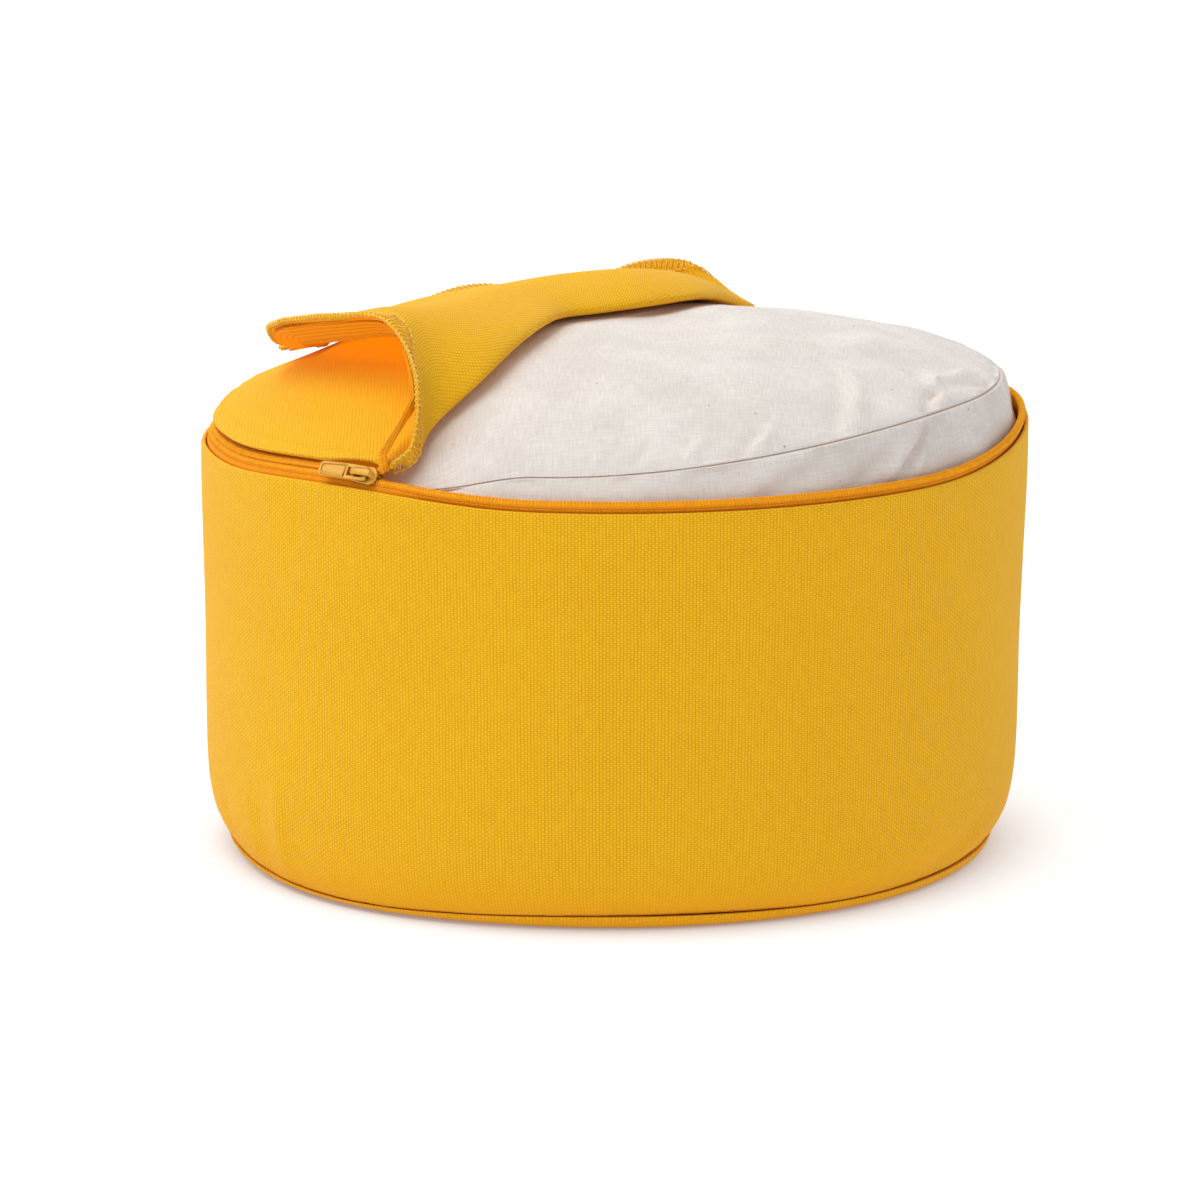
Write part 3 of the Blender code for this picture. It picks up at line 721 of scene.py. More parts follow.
def skin(bm, rings, plan=(), closed=False, start=None, end=None):
    """Faces between rings of points. The cloth runs along each ring and up the rings, or where plan
    holds a ring's number, as it is seen from above. start and end are points that close the ends."""
    count = len(rings[0])
    rows = [[bm.verts.new(point) for point in ring] for ring in rings]
    rises = [0.0]
    for lower, upper in zip(rings, rings[1:]):
        rises.append(rises[-1] + (upper[0] - lower[0]).length)
    pairs = list(zip(range(len(rows)), range(1, len(rows))))
    if closed:
        rises.append(rises[-1] + (rings[0][0] - rings[-1][0]).length)
        pairs.append((len(rows) - 1, 0))

    for i, (low, high) in enumerate(pairs):
        for j in range(count):
            k = (j + 1) % count
            face = bm.faces.new((rows[low][j], rows[low][k], rows[high][k], rows[high][j]))
            if i in plan:
                lay_cloth(bm, face, [Vector((v.co.x, v.co.y, 0.0)) for v in face.verts])
            else:
                spots = ((i, j), (i, j + 1), (i + 1, j + 1), (i + 1, j))
                lay_cloth(bm, face, [Vector((GIRTH * c / count, rises[r], 0.0)) for r, c in spots])
    for point, row, flip in ((start, rows[0], True), (end, rows[-1], False)):
        if point is None:
            continue
        tip = bm.verts.new(point)
        for j in range(count):
            k = (j + 1) % count
            face = bm.faces.new((row[k], row[j], tip) if flip else (row[j], row[k], tip))
            lay_cloth(bm, face, [Vector((v.co.x, v.co.y, 0.0)) for v in face.verts])


def sweep(bm, rings):
    """A closed strip whose cross-sections are the rings, in order along it."""
    count = len(rings[0])
    rows = [[bm.verts.new(point) for point in ring] for ring in rings]
    along, across = [0.0], [0.0]
    for before, after in zip(rings, rings[1:]):
        along.append(along[-1] + (after[0] - before[0]).length)
    for j in range(count):
        across.append(across[-1] + (rings[0][(j + 1) % count] - rings[0][j]).length)
    for i, (low, high) in enumerate(zip(rows, rows[1:])):
        for j in range(count):
            k = (j + 1) % count
            face = bm.faces.new((low[j], low[k], high[k], high[j]))
            spots = ((i, j), (i, j + 1), (i + 1, j + 1), (i + 1, j))
            lay_cloth(bm, face, [Vector((along[a], across[b], 0.0)) for a, b in spots])
    return rows


def close_end(bm, row, point, flip):
    """Closes the end of a strip with faces round a point."""
    tip = bm.verts.new(point)
    for j in range(len(row)):
        k = (j + 1) % len(row)
        bm.faces.new((row[k], row[j], tip) if flip else (row[j], row[k], tip))


def tube(bm, points, radius, sides=5):
    """A round thread along points, with its ends closed."""
    rings = []
    for i, point in enumerate(points):
        onward = (points[min(i + 1, len(points) - 1)] - points[max(i - 1, 0)]).normalized()
        aside = onward.cross(UP if abs(onward.z) < 0.9 else Vector((1.0, 0.0, 0.0))).normalized()
        rise = onward.cross(aside)
        ring = []
        for k in range(sides):
            angle = 2.0 * math.pi * k / sides
            ring.append(point + (aside * math.cos(angle) + rise * math.sin(angle)) * radius)
        rings.append(ring)
    rows = [[bm.verts.new(point) for point in ring] for ring in rings]
    for low, high in zip(rows, rows[1:]):
        for j in range(sides):
            k = (j + 1) % sides
            bm.faces.new((low[j], low[k], high[k], high[j]))
    bm.faces.new(rows[0][::-1])
    bm.faces.new(rows[-1])


def repeat_tree(name):
    """Geometry nodes that put a unit on each point, turned by the point's own directions."""
    tree = bpy.data.node_groups.new(name, "GeometryNodeTree")
    face = tree.interface
    face.new_socket("Geometry", in_out="INPUT", socket_type="NodeSocketGeometry")
    face.new_socket("Unit", in_out="INPUT", socket_type="NodeSocketObject")
    face.new_socket("Finish", in_out="INPUT", socket_type="NodeSocketMaterial")
    face.new_socket("Size", in_out="INPUT", socket_type="NodeSocketFloat")
    face.new_socket("Unevenness", in_out="INPUT", socket_type="NodeSocketFloat")
    face.new_socket("Geometry", in_out="OUTPUT", socket_type="NodeSocketGeometry")
    made = {}
    for key, kind in (
        ("in", "NodeGroupInput"),
        ("out", "NodeGroupOutput"),
        ("unit", "GeometryNodeObjectInfo"),
        ("along", "GeometryNodeInputNamedAttribute"),
        ("outward", "GeometryNodeInputNamedAttribute"),
        ("turn", "FunctionNodeAxesToRotation"),
        ("random", "FunctionNodeRandomValue"),
        ("least", "ShaderNodeMath"),
        ("most", "ShaderNodeMath"),
        ("place", "GeometryNodeInstanceOnPoints"),
        ("realise", "GeometryNodeRealizeInstances"),
        ("finish", "GeometryNodeSetMaterial"),
    ):
        made[key] = tree.nodes.new(kind)
    for key in ("along", "outward"):
        made[key].data_type = "FLOAT_VECTOR"
        made[key].inputs["Name"].default_value = key
    made["random"].inputs["Seed"].default_value = 7
    made["least"].operation, made["most"].operation = "SUBTRACT", "ADD"
    link = tree.links.new
    link(made["in"].outputs["Geometry"], made["place"].inputs["Points"])
    link(made["in"].outputs["Unit"], made["unit"].inputs["Object"])
    link(made["unit"].outputs["Geometry"], made["place"].inputs["Instance"])
    link(made["outward"].outputs["Attribute"], made["turn"].inputs["Primary Axis"])
    link(made["along"].outputs["Attribute"], made["turn"].inputs["Secondary Axis"])
    link(made["turn"].outputs["Rotation"], made["place"].inputs["Rotation"])
    for key, socket in (("least", "Min_001"), ("most", "Max_001")):
        link(made["in"].outputs["Size"], made[key].inputs[0])
        link(made["in"].outputs["Unevenness"], made[key].inputs[1])
        target = next(s for s in made["random"].inputs if s.identifier == socket)
        link(made[key].outputs[0], target)
    source = next(s for s in made["random"].outputs if s.identifier == "Value_001")
    link(source, made["place"].inputs["Scale"])
    link(made["place"].outputs["Instances"], made["realise"].inputs["Geometry"])
    link(made["realise"].outputs["Geometry"], made["finish"].inputs["Geometry"])
    link(made["in"].outputs["Finish"], made["finish"].inputs["Material"])
    link(made["finish"].outputs["Geometry"], made["out"].inputs["Geometry"])
    return tree


def repeat_along(name, unit_bm, places, kind, unevenness):
    """One piece made of a unit at each (point, along, outward), its x along and its z outward."""
    bmesh.ops.scale(unit_bm, vec=(MM, MM, MM), verts=unit_bm.verts)
    unit_mesh = bpy.data.meshes.new(name + "_unit")
    unit_bm.to_mesh(unit_mesh)
    unit_bm.free()
    unit_mesh.shade_smooth()
    unit = bpy.data.objects.new(name + "_unit", unit_mesh)
    bpy.context.scene.collection.objects.link(unit)
    points = bpy.data.meshes.new(name + "_points")
    points.from_pydata([point * MM for point, _, _ in places], [], [])
    for key, index in (("along", 1), ("outward", 2)):
        layer = points.attributes.new(key, "FLOAT_VECTOR", "POINT")
        layer.data.foreach_set("vector", [c for place in places for c in place[index]])
    holder = bpy.data.objects.new(name + "_points", points)
    bpy.context.scene.collection.objects.link(holder)
    step = holder.modifiers.new("Repeat", "NODES")
    step.node_group = bpy.data.node_groups.get("Repeat along") or repeat_tree("Repeat along")
    sockets = {s.name: s.identifier for s in step.node_group.interface.items_tree if s.in_out == "INPUT"}
    step[sockets["Unit"]] = unit
    step[sockets["Finish"]] = finish_for(kind)
    step[sockets["Size"]] = 1.0
    step[sockets["Unevenness"]] = unevenness
    bpy.context.view_layer.update()
    graph = bpy.context.evaluated_depsgraph_get()
    mesh = bpy.data.meshes.new_from_object(holder.evaluated_get(graph))
    for used in (holder, unit):
        bpy.data.objects.remove(used)
    link_piece(name, mesh)


def even_places(path, pitch, shift=0.0):
    """(point, along, outward) every pitch along a path of (point, outward)."""
    places = []
    walked, wanted = 0.0, shift
    for (start, out_a), (end, out_b) in zip(path, path[1:]):
        length = (end - start).length
        while wanted <= walked + length and length > 1e-9:
            share = (wanted - walked) / length
            outward = out_a.lerp(out_b, share).normalized()
            places.append((start.lerp(end, share), (end - start).normalized(), outward))
            wanted += pitch
        walked += length
    return places


# ---------------------------------------------------------------- the cover's canvas


def ring_at(radius_at, height_at, steps=ROUND_STEPS):
    """A ring of points whose radius and height follow the bearing."""
    bearings = [360.0 * i / steps for i in range(steps)]
    return [polar(radius_at(bearing), bearing, height_at(bearing)) for bearing in bearings]


def unevenness(turns, bearing, height):
    """Smooth noise round the cushion, from -1 to 1: it changes faster round it the more turns there are."""
    return noise.noise(polar(turns, bearing, height))


def crease_height(bearing, place, creases, radius):
    """How far the creases lift the cloth at a bearing and a distance along it."""
    total = 0.0
    for from_bearing, from_place, to_bearing, to_place, width, height in creases:
        turn = math.radians(wrapped(bearing - from_bearing)) * radius
        run = Vector((math.radians(to_bearing - from_bearing) * radius, to_place - from_place))
        here = Vector((turn, place - from_place))
        share = min(max(here.dot(run) / run.length_squared, 0.0), 1.0)
        away = (here - run * share).length
        if away < 3.0 * width:
            fade = min(share * 4.0 + 0.5, 1.0) * min((1.0 - share) * 4.0 + 0.3, 1.0)
            total += height * fade * math.exp(-((away / width) ** 2))
    return total


def wall_ripple(bearing, height):
    """Soft unevenness of the side wall: broad swells, and small puckers where it is sewn."""
    swell = unevenness(2.1, bearing, height / 60.0) * 0.9
    pucker = unevenness(24.0, bearing, height / 28.0)
    rim = rim_height(bearing) - height
    crease = crease_height(bearing, height, WALL_CREASES, RIM_RADIUS) * smooth(height, 3.0, 12.0)
    return swell + crease + pucker * (0.3 * math.exp(-rim / 9.0) + 0.5 * math.exp(-height / 12.0))


def make_side_wall():
    """The band from the base seam over its turned rim: outer face, rim, inner face and lower edge."""
    half = CANVAS / 2.0

    def ring(share, inset, above=0.0):
        def height(bearing):
            low = base_seam_height(bearing) + half
            return low + (rim_height(bearing) - half - low) * share + above

        def radius(bearing):
            high = height(bearing)
            ripple = wall_ripple(bearing, high) * (1.0 - inset / CANVAS * 0.6)
            return wall_radius(high, bearing) + ripple - inset

        return ring_at(radius, height)

    rings = [ring(share, 0.0) for share in WALL_LIFTS]
    rings += [ring(1.0, half * (1 - math.cos(a)), half * math.sin(a)) for a in (0.6, 1.2, 1.9, 2.5)]
    rings += [ring(share, CANVAS) for share in WALL_LIFTS[::-1]]
    rings += [ring(0.0, half * (1 + math.cos(a)), -half * math.sin(a)) for a in (0.8, 1.6, 2.3)]
    bm = new_cloth()
    skin(bm, rings, closed=True)
    wall = add_piece("cover_side", bm, "canvas")
    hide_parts("side_wall")


def base_edge(bearing):
    """Radius of the room inside the side wall at the base seam."""
    return wall_radius(BASE_SEAM_HEIGHT, bearing) - CANVAS - GAP


def make_base():
    """The base: flat on the floor, and curved up at its edge to meet the side wall at the seam."""
    shares = (0.0, 0.12, 0.25, 0.4, 0.55, 0.7, 0.85, 1.0)

    def ring(share, inset):
        turn = share * math.pi / 2.0
        reach, rise = math.sin(turn), 1.0 - math.cos(turn)

        def radius(bearing):
            out = wall_radius(base_seam_height(bearing) + CANVAS, bearing) - 0.2
            return BASE_FLAT + (out - BASE_FLAT) * reach - inset * reach

        return ring_at(radius, lambda b: (base_seam_height(b) - BASE_SEAM_GAP) * rise + inset * (1.0 - rise))

    rings = [ring_at(lambda _: radius, lambda _: 0.0) for radius in (20.0, 50.0, 80.0, 105.0, 125.0)]
    rings += [ring(share, 0.0) for share in shares]
    rings += [ring(share, CANVAS) for share in shares[::-1]]
    rings += [ring_at(lambda _: radius, lambda _: CANVAS) for radius in (125.0, 105.0, 80.0, 50.0, 20.0)]
    bm = new_cloth()
    skin(bm, rings, range(len(rings)), start=Vector((0.0, 0.0, 0.0)), end=Vector((0.0, 0.0, CANVAS)))
    base = add_piece("cover_base", bm, "canvas")
    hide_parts("base_panel")


def drawn_in(point):
    """How far the lying panel stands up or down beside the closed zip: a pleat along it, and puckers."""
    away = PANEL_RADIUS - point.xy.length
    bearing = math.degrees(math.atan2(point.y, point.x))
    pleat = 0.7 * math.exp(-(((away - 2.6) / 1.1) ** 2)) - 0.9 * math.exp(-(((away - 5.0) / 1.2) ** 2))
    pucker = unevenness(26.0, bearing, away / 30.0) * 0.5 * smooth(away, 0.5, 4.0) * math.exp(-away / 14.0)
    return (pleat + pucker) * smooth(away, 0.2, 1.4)


def panel_rows():
    """The top panel's sections, each a list of (point, place on the flat cloth)."""
    peel = polar(1.0, PEEL_BEARING, 0.0)
    rows = []
    for step in range(PANEL_STEPS + 1):
        share = step / PANEL_STEPS
        free = free_section(share)
        lying = lying_section(share)[:-1] if 0 < step < PANEL_STEPS else [free[0]] * LYING_STEPS
        walked = 0.0
        cells = [(point + UP * drawn_in(point), Vector((point.x, point.y, 0.0))) for point in lying]
        for i, point in enumerate(free):
            walked += (point - free[i - 1]).length if i else 0.0
            cells.append((point, Vector((free[0].x, free[0].y, 0.0)) + peel * walked))
        rows.append(cells)
    return rows


def make_top_panel():
    """The top panel: its free edge is kept for the tape and the stitching."""
    rows = panel_rows()
    bm = new_cloth()
    made = []
    for number, cells in enumerate(rows):
        free = [bm.verts.new(point) for point, _ in cells[LYING_STEPS:]]
        lying = [free[0]] * LYING_STEPS
        if 0 < number < len(rows) - 1:
            lying = [bm.verts.new(point) for point, _ in cells[:LYING_STEPS]]
        made.append(lying + free)
    for number, (row, following) in enumerate(zip(made, made[1:])):
        for i in range(len(row) - 1):
            spots = ((number, i), (number, i + 1), (number + 1, i + 1), (number + 1, i))
            verts = (row[i], row[i + 1], following[i + 1], following[i])
            corners = {}
            for vert, spot in zip(verts, spots):
                corners.setdefault(vert, rows[spot[0]][spot[1]][1])
            face = bm.faces.new(list(corners))
            lay_cloth(bm, face, list(corners.values()))
    bm.normal_update()
    edge = made[0][LYING_STEPS:] + [row[-1] for row in made[1:-1]] + made[-1][LYING_STEPS:][::-1]
    free_edge = [(corner.co.copy(), corner.normal.copy()) for corner in edge]
    panel = add_piece("cover_top", bm, "canvas")
    solid = panel.modifiers.new("Thickness", "SOLIDIFY")
    solid.thickness, solid.offset = CANVAS * MM, 0.0
    apply_modifiers(panel)
    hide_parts("top_panel")
    return free_edge


def apply_modifiers(piece):
    """Replaces the piece's mesh by what its modifiers make of it."""
    graph = bpy.context.evaluated_depsgraph_get()
    old = piece.data
    piece.data = bpy.data.meshes.new_from_object(piece.evaluated_get(graph))
    piece.modifiers.clear()
    bpy.data.meshes.remove(old)


# ---------------------------------------------------------------- the calico inner


def calico_ripple(bearing, down):
    """The calico's unevenness: puckers drawn in along its seam, long soft folds, and its creases."""
    free = 1.0 - closed_share(bearing)
    pucker = unevenness(16.0, bearing, down / 30.0) * math.exp(-abs(down) / 8.0) * 1.3
    fold = unevenness(6.5, bearing, down / 55.0) * math.exp(-abs(down) / 30.0) * 2.0
    radius = max(INNER_SEAM_RADIUS + down, 0.0)
    soft = unevenness(radius / 34.0, bearing, 9.0) * 2.2 * smooth(abs(down), 4.0, 30.0)
    crease = CALICO_CREASE_DEPTH * crease_height(bearing, down, CREASES, CALICO_CREASE_RADIUS)
    return (pucker + fold + crease) * free + soft * (0.3 + 0.7 * free)


def calico_ring(radius_at, height_at):
    return ring_at(radius_at, height_at, CALICO_STEPS)


def hidden_rings(bottom):
    """The calico from its flat bottom up inside the side wall."""
    rings = [calico_ring(lambda _: radius, lambda _: bottom) for radius in (40.0, 90.0, FLAT_RADIUS)]
    rings.append(calico_ring(lambda b: base_edge(b) - 5.0, lambda _: bottom + 2.6))
    for height in (10.0, 15.0, 24.0, 45.0, 100.0):
        rings.append(calico_ring(lambda b: wall_radius(height, b) - CANVAS - 2.0 * GAP, lambda _: height))

    def side(bearing):
        return INNER_SIDE_RADIUS - 1.5 * closed_share(bearing)

    return [*rings, calico_ring(side, lambda b: rim_height(b) - 10.0)]


def neck(bearing):
    """Radius of the calico where it comes out of the rim: drawn in under the closed cover."""
    return INNER_NECK_RADIUS - 4.2 * closed_share(bearing)


def band_ring(share):
    """A ring of the calico's side band, from the rim at 0 to the seam at 1."""
    swell = 0.95 * math.sin(math.pi * min(share * 1.15, 1.0) * 0.8)
    seam_fade, rim_fade = smooth(1.0 - share, 0.0, 0.12), smooth(share, 0.0, 0.15)

    def height(bearing):
        low = rim_height(bearing) - 1.5
        return low + (inner_seam_height(bearing) - low) * share

    def radius(bearing):
        down = inner_seam_height(bearing) - height(bearing)
        ripple = calico_ripple(bearing, max(down, 0.0)) * seam_fade * rim_fade
        return neck(bearing) + (INNER_SEAM_RADIUS - neck(bearing)) * share + swell + ripple

    return calico_ring(radius, height)


def top_rings():
    """The calico's seam, sunk in its groove, and its top from there to the middle."""
    rings = []
    for inset, sunk in ((0.4, -0.1), (1.3, 0.05), (1.35, 0.25), (0.6, 0.45), (0.9, 1.1)):
        rings.append(calico_ring(lambda _: INNER_SEAM_RADIUS - inset, lambda b: inner_seam_height(b) + sunk))
    for inset in (2.6, 3.6, 4.8, 6.2, 7.8, 9.6, 11.6, 13.8, 16.2, *(18.8 + 2.8 * i for i in range(48))):
        radius = INNER_SEAM_RADIUS - inset
        full = smooth(inset, 1.0, 5.0) * math.exp(-inset / 18.0)

        def height(bearing):
            smooth_top = crown(*polar(radius, bearing, 0.0).xy)
            return smooth_top + calico_ripple(bearing, -inset) * 0.8 + full

        rings.append(calico_ring(lambda _: radius, height))
    return rings


def make_inner():
    """The filled calico: flat below, up inside the side wall, its band, its seam and its crowned top."""
    bottom = CANVAS + GAP
    rings = hidden_rings(bottom)
    rings += [band_ring(i / 12.0) for i in range(12)] + [band_ring(0.955), band_ring(0.985)]
    plan_from = len(rings)
    rings += top_rings()
    bm = new_cloth()
    middle = Vector((0.0, 0.0, crown(0.0, 0.0)))
    skin(bm, rings, range(plan_from, len(rings)), start=Vector((0.0, 0.0, bottom)), end=middle)
    inner = add_piece("calico_inner", bm, "calico")
    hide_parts("inner_cushion")


# ---------------------------------------------------------------- the zip


def zip_directions(bearing):
    """Along the closed zip, from its lower coil to its upper one, and across it outwards."""
    lean = math.radians(ZIP_LEAN)
    radial, along = polar(1.0, bearing, 0.0), polar(1.0, bearing + 90.0, 0.0)
    return along, UP * math.cos(lean) - radial * math.sin(lean), radial * math.cos(lean) + UP * math.sin(lean)


def zip_point(bearing, rise):
    """A point on the closed zip this far up from the rim."""
    return polar(TAPE_RADIUS, bearing, rim_height(bearing)) + zip_directions(bearing)[1] * rise


def tape_ring(coil, seam, across, bend=None):
    """One section of half a zip: its cord at one end of a strip, whose other end is at the seam."""
    strip = ((bend or seam) - coil).normalized()
    half = TAPE * 0.42
    ring = [seam - across * half, seam + across * half]
    for angle in map(math.radians, (40.0, 90.0, 140.0, 180.0, 220.0, 270.0, 320.0)):
        ring.append(coil + (strip * math.cos(angle) + across * (0.86 * math.sin(angle))) * COIL_RADIUS)
    return ring


def lower_zip():
    """Rings and coil path, as (point, towards the tape, across it), of the half on the side wall."""
    rings, path = [], []
    for step in range(TAPE_STEPS):
        bearing = 360.0 * step / TAPE_STEPS
        closed = closed_share(bearing)
        bend = polar(TAPE_RADIUS, bearing, rim_height(bearing))
        joined = bend.lerp(zip_point(bearing, LOWER_COIL_RISE + 0.25), closed)
        coil = joined + UP * (LOWER_COIL_RISE * (1.0 - closed))
        outwards = polar(1.0, bearing, 0.0)
        across = (bend - coil).cross(polar(1.0, bearing - 90.0, 0.0)).normalized()
        outer, inner = bend + outwards * (TAPE / 2.0), bend - outwards * (TAPE / 2.0)
        deep = UP * (TAPE_WIDTH - LOWER_COIL_RISE)
        ring = tape_ring(coil, bend, across)
        rings.append([outer - deep, inner - deep, inner, *ring[2:], outer])
        path.append((coil, (bend - coil).normalized(), across))
    return rings + rings[:1], path + path[:1]


def closed_sections():
    """(coil, seam, across) of the upper half where it is zipped on, from the zip's end to the slider."""
    for step in range(CLOSED_STEPS):
        bearing = SLIDER_BEARING - CLOSED_SWEEP * (0.985 - 0.963 * step / (CLOSED_STEPS - 1))
        coil = zip_point(bearing, UPPER_COIL_RISE - 0.25)
        seam = polar(PANEL_RADIUS - 10.0, bearing, 0.0)
        seam.z = lying_panel(seam.x, seam.y) - CANVAS / 2.0 - TAPE / 2.0 - 2.2
        yield coil, seam, (seam - coil).cross(polar(1.0, bearing - 90.0, 0.0)).normalized()


def exit_sections():
    """The same where it leaves the slider round the panel's corner."""
    places, strips = [], []
    for bearing, radius, rise, outwards, along, up in SLIDER_EXIT:
        places.append(polar(radius, bearing, rim_height(bearing) + rise))
        strips.append((polar(outwards, bearing, up) + polar(along, bearing + 90.0, 0.0)).normalized())
    for index, (place, strip) in enumerate(zip(places, strips)):
        onward = places[min(index + 1, len(places) - 1)] - places[max(index - 1, 0)]
        yield place, place + strip * EXIT_STRIP, onward.cross(strip).normalized()


def open_sections(free_edge):
    """The same along the free edge, where the tape hangs from the panel's inner face."""
    last = len(free_edge) - 1
    seams, turned, widths = [], [], []
    for index in range(round(last * TAPE_FROM), round(last * TAPE_TO), 2):
        place, normal = free_edge[index]
        around = (free_edge[index + 1][0] - free_edge[index - 1][0]).normalized()
        inside = normal.cross(around).normalized()
        turn, width = through(TAPE_TURNS, index / last)
        tucked = 0.5 + 2.6 * smooth(index / last, 0.06, 0.13)
        seams.append(place + inside * tucked + normal * (CANVAS / 2.0 + TAPE / 2.0 + 1.4 * GAP))
        turned.append(inside * math.cos(math.radians(turn)) + normal * math.sin(math.radians(turn)))
        widths.append(width)
    for _ in range(TAPE_SOFTENING):
        ends = zip([turned[0], *turned], turned, [*turned[1:], turned[-1]])
        turned = [(before + here * 2.0 + after).normalized() for before, here, after in ends]
    for index, (seam, outward, width) in enumerate(zip(seams, turned, widths)):
        around = seams[min(index + 1, len(seams) - 1)] - seams[max(index - 1, 0)]
        yield seam + outward * width, seam, outward.cross(around).normalized()


def upper_zip(free_edge):
    """The same for the half on the top panel: closed round the left, then along the free edge."""
    sections = [*closed_sections(), *exit_sections(), *open_sections(free_edge)]
    rings = [tape_ring(coil, seam, across) for coil, seam, across in sections]
    return rings, [(coil, (seam - coil).normalized(), across) for coil, seam, across in sections]


def tooth_unit():
    """One turn of the coil over its cord: x along the zip, y towards the tape, z across it."""
    bm = bmesh.new()
    points = []
    for i in range(8):
        angle = math.radians(52.0 + 256.0 * i / 7)
        points.append(Vector((0.34 * (i / 7 - 0.5), 1.46 * math.cos(angle), 1.28 * math.sin(angle))))
    tube(bm, points, 0.27)
    return bm


def stitch_unit(length, radius):
    """One stitch, lying along x and sunk at its ends."""
    bm = bmesh.new()
    half = length / 2.0
    arch = ((-1.0, -0.12), (-0.6, 0.1), (0.0, 0.16), (0.6, 0.1), (1.0, -0.12))
    tube(bm, [Vector((x * half, 0.0, z)) for x, z in arch], radius)
    return bm


def make_zip_half(name, rings, path, node, closed):
    """One half of the zip: its tape, the teeth on its cord, and the two rows of stitches beside them."""
    bm = new_cloth()
    rows = sweep(bm, rings)
    if closed:
        bmesh.ops.remove_doubles(bm, verts=bm.verts, dist=1e-4)
    else:
        close_end(bm, rows[0], sum(rings[0], Vector()) / len(rings[0]), True)
        close_end(bm, rows[-1], sum(rings[-1], Vector()) / len(rings[-1]), False)
    tape = add_piece(name + "_tape", bm, "tape")
    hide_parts(node)
    pitch = bpy.context.scene.cushion_zip.tooth_pitch / MM
    coil = even_places([(coil, across) for coil, _, across in path], pitch)
    repeat_along(name + "_coil", tooth_unit(), coil, "coil", 0.03)
    for side in (1.0, -1.0):
        line = [(coil + strip * 1.85 + across * side * 0.52, across * side) for coil, strip, across in path]
        places = even_places(line, pitch * 1.5, 0.5)
        stitch = stitch_unit(pitch * 1.35, 0.2)
        word = "outer" if side > 0 else "inner"
        repeat_along(f"{name}_{word}_stitches", stitch, places, "coil", 0.05)


def make_metal(name, node):
    """The slider or its puller with softened edges."""
    bm = bmesh.new()
    bm.from_mesh(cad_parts[node].data)
    bmesh.ops.remove_doubles(bm, verts=bm.verts, dist=1e-5)
    bmesh.ops.dissolve_limit(bm, angle_limit=math.radians(1.0), verts=bm.verts, edges=bm.edges)
    bmesh.ops.scale(bm, vec=(1 / MM,) * 3, verts=bm.verts)
    piece = add_piece(name, bm, "metal")
    soften = piece.modifiers.new("Soft edges", "BEVEL")
    soften.width, soften.segments, soften.limit_method = 0.28 * MM, 2, "ANGLE"
    soften.angle_limit = math.radians(35.0)
    apply_modifiers(piece)
    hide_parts(node)


def make_puller_rim():
    """The raised rim round the puller's face."""
    along, rise, across = zip_directions(SLIDER_MIDDLE)
    middle = zip_point(SLIDER_MIDDLE, (LOWER_COIL_RISE + UPPER_COIL_RISE) / 2.0)
    side = [(-19.5, 1.3), (-18.7, 1.9), (-13.0, 2.3), (-8.2, 2.35)]
    outline = side + [(x, -y) for x, y in reversed(side)] + side[:1]
    bm = bmesh.new()
    tube(bm, [middle + along * x + rise * y + across * PULLER_TOP for x, y in outline], 0.5, 6)
    add_piece("puller_rim", bm, "metal")


# ---------------------------------------------------------------- stitching on the free edge


def edge_unit(pitch, width):
    """One repeat of the overlocked edge: x along it, y from the edge into the cloth, z off its face."""
    bm = bmesh.new()
    lift = CANVAS / 2.0 + 0.18
    zigzag = (
        *((0.0, width, lift), (0.22, width * 0.55, lift + 0.12), (0.5, 0.1, lift + 0.1)),
        *((0.78, width * 0.5, lift + 0.12), (1.0, width, lift)),
    )
    row = width + 0.2
    needle = ((0.0, row, lift), (0.2, row, lift + 0.16), (0.8, row, lift + 0.16), (1.0, row, lift))
    wrap = (
        *((0.35, 1.1, lift + 0.1), (0.42, 0.0, lift), (0.5, -0.45, 0.0)),
        *((0.6, 0.0, -lift), (0.75, 1.5, -lift)),
    )
    loop = (
        *((0.5, -0.15, lift), (0.75, -0.5, 0.3), (1.0, -0.55, 0.0)),
        *((1.25, -0.5, 0.3), (1.5, -0.15, lift)),
    )
    for thread, radius in ((zigzag, 0.2), (needle, 0.24), (wrap, 0.2), (loop, 0.19)):
        tube(bm, [Vector((x * pitch - pitch / 2, y, z)) for x, y, z in thread], radius)
    return bm


def make_edge_stitching(free_edge):
    cover = bpy.context.scene.cushion_cover
    pitch, width = cover.stitch_pitch / MM, cover.stitch_width / MM
    line = [(point, -normal) for point, normal in reversed(free_edge)]
    places = even_places(line, pitch, pitch / 2.0)
    repeat_along("cover_edge_stitches", edge_unit(pitch, width), places, "thread", 0.05)


# ---------------------------------------------------------------- the stage


def aim(thing, target):
    thing.rotation_euler = (Vector(target) - thing.location).to_track_quat("-Z", "Y").to_euler()


def add_light(name, place, target, size, power, colour):
    light = bpy.data.lights.new(name, "AREA")
    light.shape, light.size, light.energy, light.color = "DISK", size, power, colour
    lamp = bpy.data.objects.new(name, light)
    lamp.location = place
    aim(lamp, target)
    bpy.context.scene.collection.objects.link(lamp)


